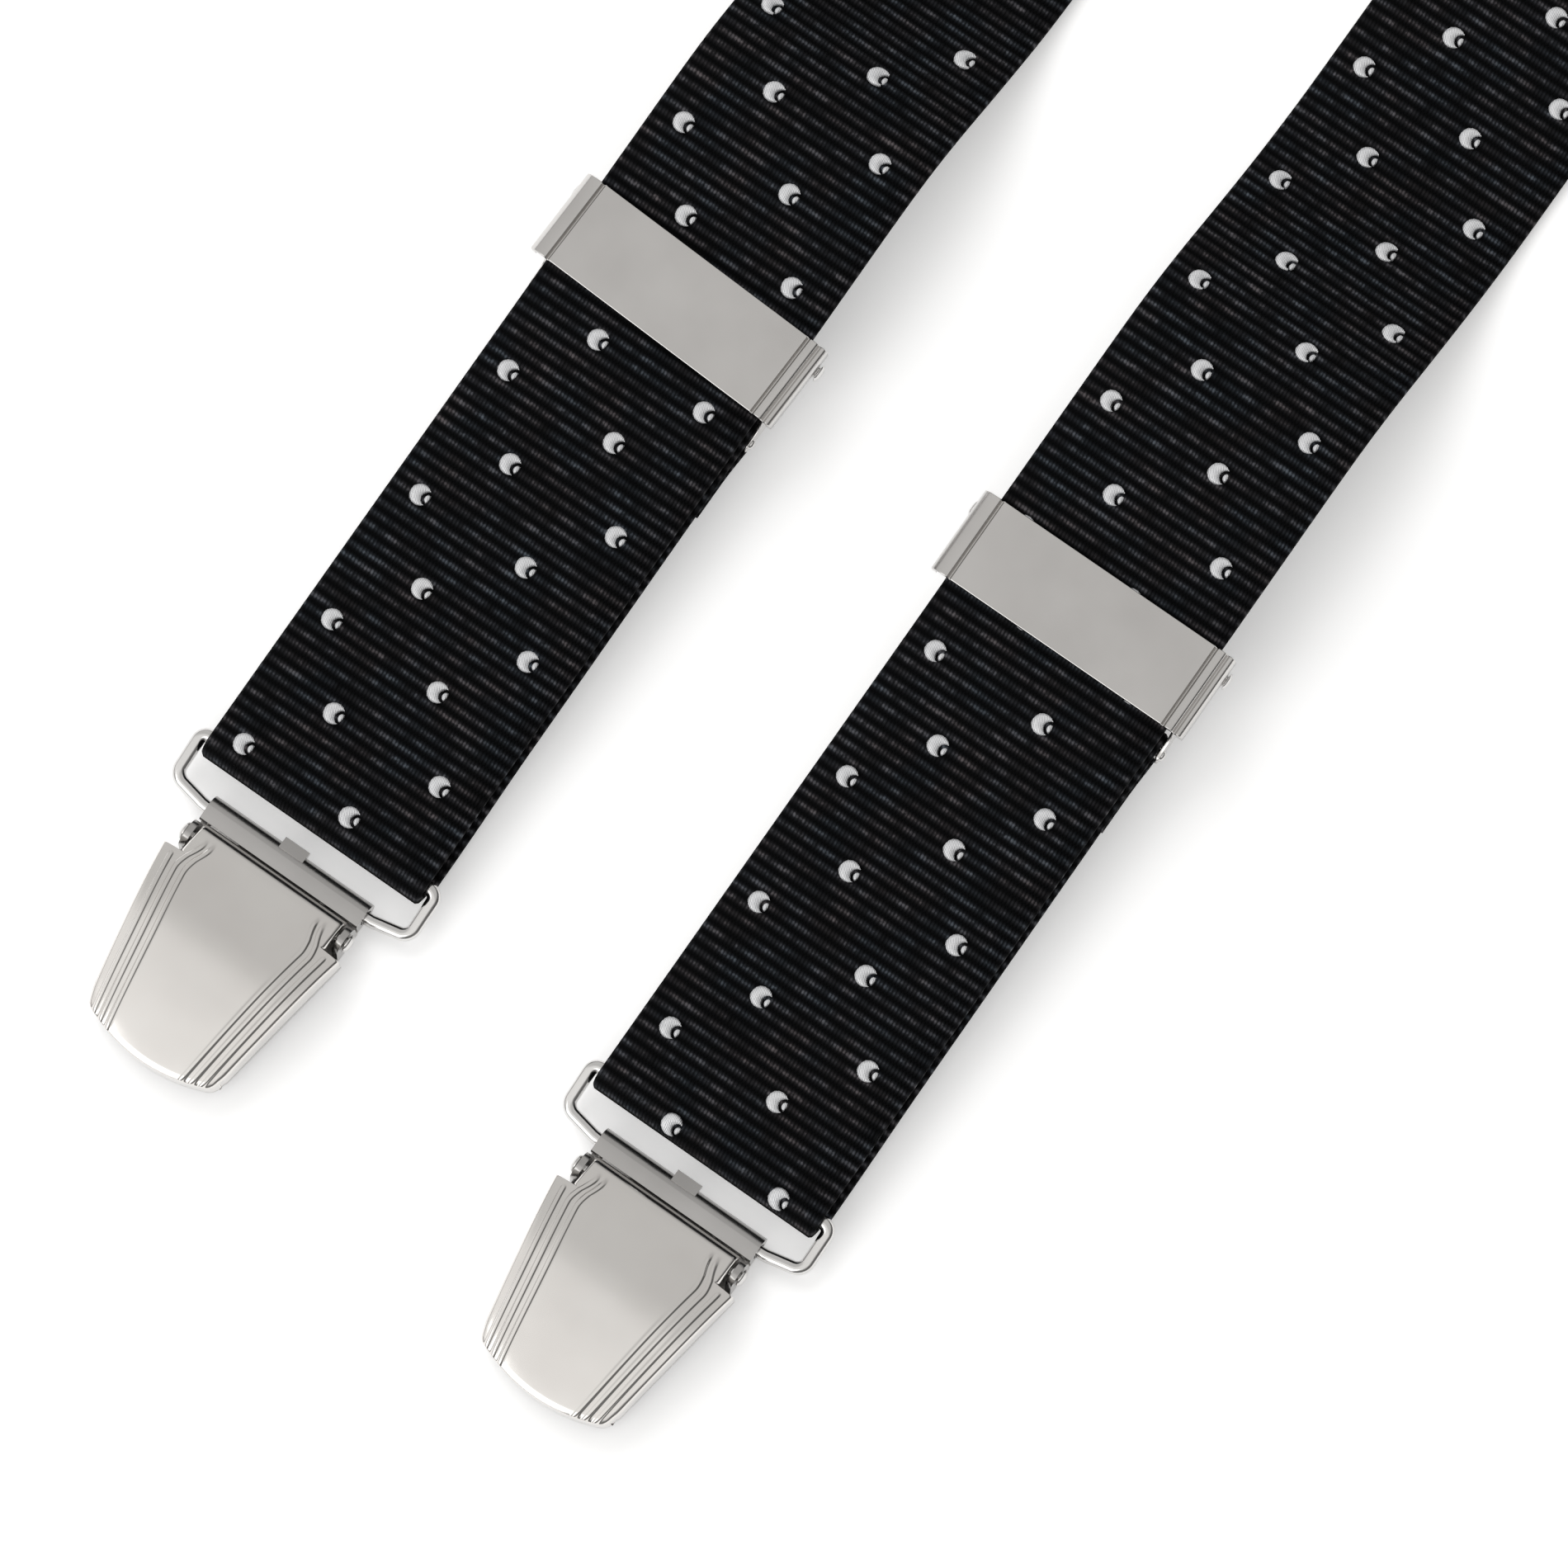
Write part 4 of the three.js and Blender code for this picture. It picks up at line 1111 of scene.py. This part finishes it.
def wire_points():
    """Rings of points along the loop in the clip's own place, in millimetres."""
    slope = math.atan2(BAR_Z - HINGE_Z, BAR_Y - HINGE_Y)
    length = math.hypot(BAR_Z - HINGE_Z, BAR_Y - HINGE_Y)
    right = [(0.15, 0), (BASE_HALF - 1, 0), (BASE_HALF + 0.2, 0.02), (BASE_HALF + 1.0, 0.07)]
    right += arc(WIRE_HALF - LOW_BEND, LOW_BEND + 0.8, LOW_BEND, -82, 0, 10)
    right += arc(WIRE_HALF - HIGH_BEND, length - HIGH_BEND, HIGH_BEND, 0, 90, 10)
    flat = right + [(-x, q) for x, q in right[::-1]]
    line = np.array([(x, HINGE_Y + q * math.cos(slope), HINGE_Z + q * math.sin(slope))
                     for x, q in flat])
    normal = np.array([0, -math.sin(slope), math.cos(slope)])
    steps = np.diff(line, axis=0)
    steps /= np.linalg.norm(steps, axis=1)[:, None]
    back, ahead = np.vstack([steps[:1], steps]), np.vstack([steps, steps[-1:]])
    way = back + ahead
    way /= np.linalg.norm(way, axis=1)[:, None]
    side = np.cross(way, normal)
    angles = np.linspace(0, 2 * math.pi, WIRE_SIDES, endpoint=False)
    return line[:, None] + WIRE_R * WIRE_FIT * (
        side[:, None] * np.cos(angles)[None, :, None]
        + normal * np.sin(angles)[None, :, None])


def tube(name, rings):
    faces = ring_faces(*rings.shape[:2])
    return smooth(outward(mesh_piece(name, rings.reshape(-1, 3), faces)))


# %% Where each clip goes
def clip_place(key, points):
    """Moves points from the clip's own place to where that clip lies."""
    points = np.array(points, float)
    if key == "rear":
        points[..., :2] *= -1
        return points + (0, REAR_TURN_Y + SHIFT_Y, 0)
    side = SIDES[key]
    return points + (side["x"], side["y"] + SHIFT_Y, 0)


CLIPS = {"left": "loop_left", "right": "loop_right", "rear": "webbing"}
for key, loop_body in CLIPS.items():
    loop = paint(tube(f"clip_{key}_loop", clip_place(key, wire_points())), wire_metal)
    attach(loop, loop_body)
    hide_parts(f"clip_{key}_wire")
    print(f"{key} wire: {len(loop.data.polygons)} faces")

# %% [markdown]
# ## The clip's cover
# The cover is what the eye goes to: a pressed sheet, crowned along its length, with
# three raised lines beside each edge, its sides and its tip turned down, and a narrow
# neck rolled over the pin.  It is laid out as a grid: each row is a station along the
# clip, and the columns by each line keep their distance from the side edge, so that
# the lines run parallel to it; at the neck they are drawn in towards the middle.
# Solidify then gives the sheet its thickness.

# %% Sizes of the cover
PIN_Y, PIN_Z = -9.2, 4.0
NECK_HALF = 11.4
SHOULDER_HALF = 14.0
TIP_HALF = 10.25
SHEET = 0.6
SHOULDER_Y = -12.0
TIP_Y = -34.8
TIP_BULGE = 2.4
FLANGE_Z = 2.9
TIP_Z = 1.9
CORNER = 0.7
LINES = [(4.35, 1.3), (3.0, 1.55), (1.65, 0.2)]    # from the edge, drawn in at the neck
LINE_HEIGHT = 0.23
LINE_TOP = 0.1
LINE_HALF = 0.5
PLAIN_FROM = 1.5
CROWN = 0.35
LIP = 1.1
TIP_ROLL = 0.35
SIDE_ROLL = 1.2


def through(points, at):
    """A smooth curve through points, with its slopes taken from their neighbours."""
    xs, ys = np.array(points, float).T
    slopes = np.gradient(ys, xs)
    return curve(list(zip(xs, ys, slopes)), at)


ROLL_R = 2.2
ROLL_END = 55
TOP_END = 34.45
CROWN_LINE = [
    (7.94, 5.8), (9.2, 6.5), (10.4, 7.03), (12.0, 7.58), (13.6, 8.05), (16, 8.5), (20, 8.58),
    (24.5, 8.05), (29, 7.2), (32.5, 6.25), (TOP_END, 5.6)]


def cover_stations():
    """Rows of (y, height, how far into the body, how far down the tip's wall)."""
    rows = []
    for degrees in np.linspace(10, ROLL_END, 6):
        t = math.radians(degrees)
        rows.append((PIN_Y + ROLL_R * math.cos(t), PIN_Z + ROLL_R * math.sin(t), 0.0, 0.0))
    for y in np.linspace(8.25, 11.86, 14):
        rows.append((-y, through(CROWN_LINE, y), 0.0, 0.0))
    for share in np.linspace(0, 1, 7)[1:-1]:
        y = 11.88 + 0.24 * share
        rows.append((-y, through(CROWN_LINE, y), float(smoothstep(share)), 0.0))
    for y in (*np.linspace(12.14, 16, 22), *np.linspace(16.4, TOP_END, 34)):
        rows.append((-y, through(CROWN_LINE, y), 1.0, 0.0))
    z = through(CROWN_LINE, TOP_END)
    for degrees in (22, 42, 60, 75, 90):
        t = math.radians(degrees)
        drop = TIP_ROLL * (1 - math.cos(t)) + 0.08
        rows.append((-TOP_END - TIP_ROLL * math.sin(t), z - drop, 1.0, 0.0))
    for share in (0.3, 0.6, 0.85, 1.0):
        rows.append((TIP_Y, z - 0.43, 1.0, share))
    return rows


def cover_grid():
    inner = np.linspace(0, 1, 9)[:-1]
    columns = np.linspace(0, 4, 57)
    arc_t = np.radians([18, 36, 54, 72, 90])
    rows = []
    for y, z, body, wall in cover_stations():
        along = float(np.clip((SHOULDER_Y - y) / (SHOULDER_Y - TIP_Y), 0, 1))
        wide = SHOULDER_HALF + (TIP_HALF - SHOULDER_HALF) * along
        half = NECK_HALF + (wide - NECK_HALF) * body
        shown = float(smoothstep(PIN_Y - y, -0.6, 1.2))
        drawn_in = 1 - float(smoothstep(SHOULDER_Y - y, -2.6, 2.4))
        lines = [wide - edge - drawn_in * gap for edge, gap in LINES]
        marks = [lines[0] - PLAIN_FROM, *lines, wide - CORNER]
        xs = np.minimum(np.interp(columns, range(5), marks), half - CORNER)
        ridge = np.zeros(len(xs))
        for k, line in enumerate(lines):
            near = 1 - smoothstep(np.abs(xs - line), LINE_TOP, LINE_HALF)
            begun = float(smoothstep(SHOULDER_Y - y, 0.3, 1.2)) if k == 2 else shown
            ridge += near * LINE_HEIGHT * begun
        lip = LIP + (z - FLANGE_Z + LIP * along - LIP) * body
        xs = np.concatenate([
            inner * marks[0], xs, half - CORNER + CORNER * np.sin(arc_t), [half] * 3])
        crown = CROWN * float(smoothstep(PIN_Y - y, -2.2, 7)) * (1 - (xs / wide) ** 2)
        hs = np.concatenate([
            np.zeros(len(inner)), ridge, -CORNER + CORNER * np.cos(arc_t),
            -CORNER - (lip - CORNER) * np.array([0.33, 0.7, 1.0])]) + crown
        row_x = np.concatenate([-xs[:0:-1], xs])
        row_h = np.concatenate([hs[:0:-1], hs])
        bulge = TIP_BULGE * float(smoothstep(along, 0.35, 1))
        row_y = y - bulge * (1 - (row_x / half) ** 2)
        turn_in = np.clip(np.abs(row_x) - (half - SIDE_ROLL), 0, SIDE_ROLL)
        rounded = SIDE_ROLL - np.sqrt(np.maximum(SIDE_ROLL**2 - turn_in**2, 0))
        row_y += rounded * float(smoothstep(along, 0.9, 1)) * body
        row_z = z + row_h
        if wall:
            row_z = np.minimum(row_z, (z + row_h) * (1 - wall) + (TIP_Z - 0.05) * wall)
        rows.append(np.stack([row_x, row_y, row_z], 1))
    return np.array(rows)


def cover_mesh(name, key):
    grid = cover_grid()
    rows, n = grid.shape[:2]
    faces = [(i * n + j, (i + 1) * n + j, (i + 1) * n + j + 1, i * n + j + 1)
             for i in range(rows - 1) for j in range(n - 1)]
    cover = mesh_piece(name, clip_place(key, grid).reshape(-1, 3), faces)
    shape = bmesh.new()
    shape.from_mesh(cover.data)
    bmesh.ops.remove_doubles(shape, verts=shape.verts, dist=1e-6)
    shape.to_mesh(cover.data)
    shape.free()
    sheet = cover.modifiers.new("sheet", "SOLIDIFY")
    sheet.thickness = SHEET * MM
    sheet.offset = -1.0
    sheet.use_even_offset = False
    return smooth(settle(cover))


for key in CLIPS:
    cover = paint(cover_mesh(f"clip_{key}_lid", key), cover_metal)
    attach(cover, f"cover_{key}")
    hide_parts(f"clip_{key}_cover")
print("a cover has", len(cover.data.polygons), "faces")

# %% [markdown]
# ## The rest of each clip
# The plate, the sprung jaw, the pin and the rubber grip are rounded copies of their
# solids.

# %% Plate, jaw, pin and grip
CLIP_PIECES = [
    ("base", "plate", "base", base_metal, "polished_plate", 0.13),
    ("jaw", "spring_jaw", "jaw", plate_metal, "polished_plate", 0.08),
    ("pin", "rivet", "base", wire_metal, "polished_plate", 0.1),
    ("pad", "grip", "base", rubber, "grip", 0.1),
]
for key in CLIPS:
    for node, label, body, finish, slot, radius in CLIP_PIECES:
        piece = paint(rounded_copy(f"clip_{key}_{node}", f"clip_{key}_{label}", radius), finish)
        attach(piece, f"{body}_{key}")
        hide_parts(f"clip_{key}_{node}")

# %% [markdown]
# ## The adjusters
# Each slide is a bent plate that rolls over at both ends, with a narrow groove pressed
# beside each roll.  Its closed section is swept along the strap, and two thin cheeks
# under it carry the gripper's pin and the bar that the webbing is sewn round.  The
# gripper and its pin are rounded copies of their solids.

# %% Slide
SLIDE_HALF = 6.2
SLIDE_ROUNDING = [(0.0, 0.16), (0.05, 0.06), (0.16, 0.0)]    # in from the edge, drawn in
ROLL_FROM = 19.3
SLIDE_TOP = [
    (16.2, 2.0), (16.5, 2.05), (16.62, 1.95), (16.7, 1.45), (16.85, 1.3), (17.0, 1.45),
    (17.08, 1.95), (17.25, 2.06)]
SMOOTH_ROLL = [
    (17.7, 2.1), (18.2, 2.0), (18.7, 1.78), (19.15, 1.42), (19.5, 0.95), (19.72, 0.4),
    (19.8, -0.2), (19.8, -1.1)]
LAPPED_ROLL = [
    (17.6, 2.14), (18.0, 2.12), (18.3, 1.95), (18.44, 1.6), (18.5, 1.35), (18.68, 1.25),
    (18.8, 1.45), (18.95, 1.62), (19.25, 1.62), (19.55, 1.4), (19.75, 1.0), (19.8, 0.4),
    (19.8, -1.1)]
SLIDE_INSIDE = [
    (18.95, -1.1), (18.95, 0.9), (18.7, 1.1), (-18.7, 1.1), (-18.95, 0.9), (-18.95, -1.1)]
SKEW = {"left": math.radians(-2.5), "right": 0.0}
CHEEK_X = {-1: (17.12, 17.6), 1: (18.0, 18.5)}
CHEEK = [
    (-5.9, 1.1), (-5.9, -0.6), (-7.4, -2.3), *arc(-9.0, -3.9, 1.3, 112, 278, 8), (-2, -4.5),
    *arc(3.6, -2.9, 1.7, -95, 10, 6), (5.9, -0.6), (5.9, 1.1)]
CHEEK_ROUND = 0.08
BAR_R = 0.8
BAR_SIDES = 20
BAR_RINGS = [
    (-17.8, 0.3), (-17.72, 0.75), (-17.5, 1), (0, 1), (18.6, 1), (18.85, 0.75), (18.95, 0.3)]


def on_strap(key, points):
    """Moves points (x, along, above) from the slide's own place to where it lies."""
    placed = [adjuster_point(SIDES[key], a, b) for _, a, b in points]
    return [(px + x, py + SHIFT_Y, pz) for (x, _, _), (px, py, pz) in zip(points, placed)]


def slide_plate(key):
    """The closed section swept along the strap, its top edges drawn in to round them."""
    left = [(-x, b) for x, b in (SLIDE_TOP + SMOOTH_ROLL)[::-1]]
    outside = left + SLIDE_TOP + LAPPED_ROLL
    points = []
    stations = [(inward - SLIDE_HALF, drawn) for inward, drawn in SLIDE_ROUNDING]
    stations += [(-a, drawn) for a, drawn in stations[::-1]]
    for a, drawn in stations:
        for x, b in outside:
            narrower = math.copysign(drawn, x) if abs(x) > ROLL_FROM else 0.0
            points.append((x - narrower, a, b - drawn * (b > 0.5)))
        points += [(x, a, b) for x, b in SLIDE_INSIDE]
    faces = ring_faces(len(stations), len(outside) + len(SLIDE_INSIDE))
    return even_shading(
        outward(mesh_piece(f"adjuster_{key}_slide", on_strap(key, points), faces)))


def skewed(key, piece):
    """Turns a piece about the slide's middle: a slide seldom sits quite square."""
    middle = Matrix.Translation(Vector(on_strap(key, [(0, 0, 0)])[0]) * MM)
    piece.data.transform(middle @ Matrix.Rotation(SKEW[key], 4, "Z") @ middle.inverted())
    return piece


def cheek(key, sign):
    points = [(sign * x, a, b) for x in CHEEK_X[sign] for a, b in CHEEK]
    blank = mesh_piece(f"cheek {key} {sign}", on_strap(key, points), ring_faces(2, len(CHEEK)))
    return soften(outward(blank), CHEEK_ROUND, sharper_than=40.0)


def bar(key):
    """A rod with domed ends, as rings of points."""
    points = [(x, a, b) for x, share in BAR_RINGS
              for a, b in arc(*ADJ_BAR, BAR_R * share, 0, 342, BAR_SIDES - 1)]
    rings = np.array(on_strap(key, points)).reshape(len(BAR_RINGS), BAR_SIDES, 3)
    return tube(f"adjuster_{key}_slide_bar", rings)


for key in SIDES:
    slide = slide_plate(key)
    cheeks = [cheek(key, -1), cheek(key, 1)]
    for piece in (slide, *cheeks):
        paint(piece, plate_metal)
    join(slide, *cheeks)
    rod = bar(key)
    lever = rounded_copy(f"adjuster_{key}_lever", f"adjuster_{key}_gripper", 0.08)
    pin = rounded_copy(f"adjuster_{key}_pin", f"adjuster_{key}_slide_pin", 0.1)
    pieces = [
        ("frame", "adjuster", slide),
        ("bar", "adjuster", paint(rod, wire_metal)),
        ("lever", "gripper", paint(lever, plate_metal)),
        ("pin", "adjuster", paint(pin, wire_metal)),
    ]
    for node, body, piece in pieces:
        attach(skewed(key, piece), f"{body}_{key}")
        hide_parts(f"adjuster_{key}_{node}")
    print(f"{key} slide: {len(slide.data.polygons)} faces")

# %% [markdown]
# ## Clearing up and measuring
# The two little shapes that the trees copied are removed, and the triangles of
# everything that is shown are counted.

# %% Clearing up and counting
for shape in (DOT, STITCH):
    bpy.data.objects.remove(shape)
total = sum(len(p.vertices) - 2 for o in bpy.data.objects
            if o.type == "MESH" and not o.hide_render for p in o.data.polygons)
print("triangles in all:", total)
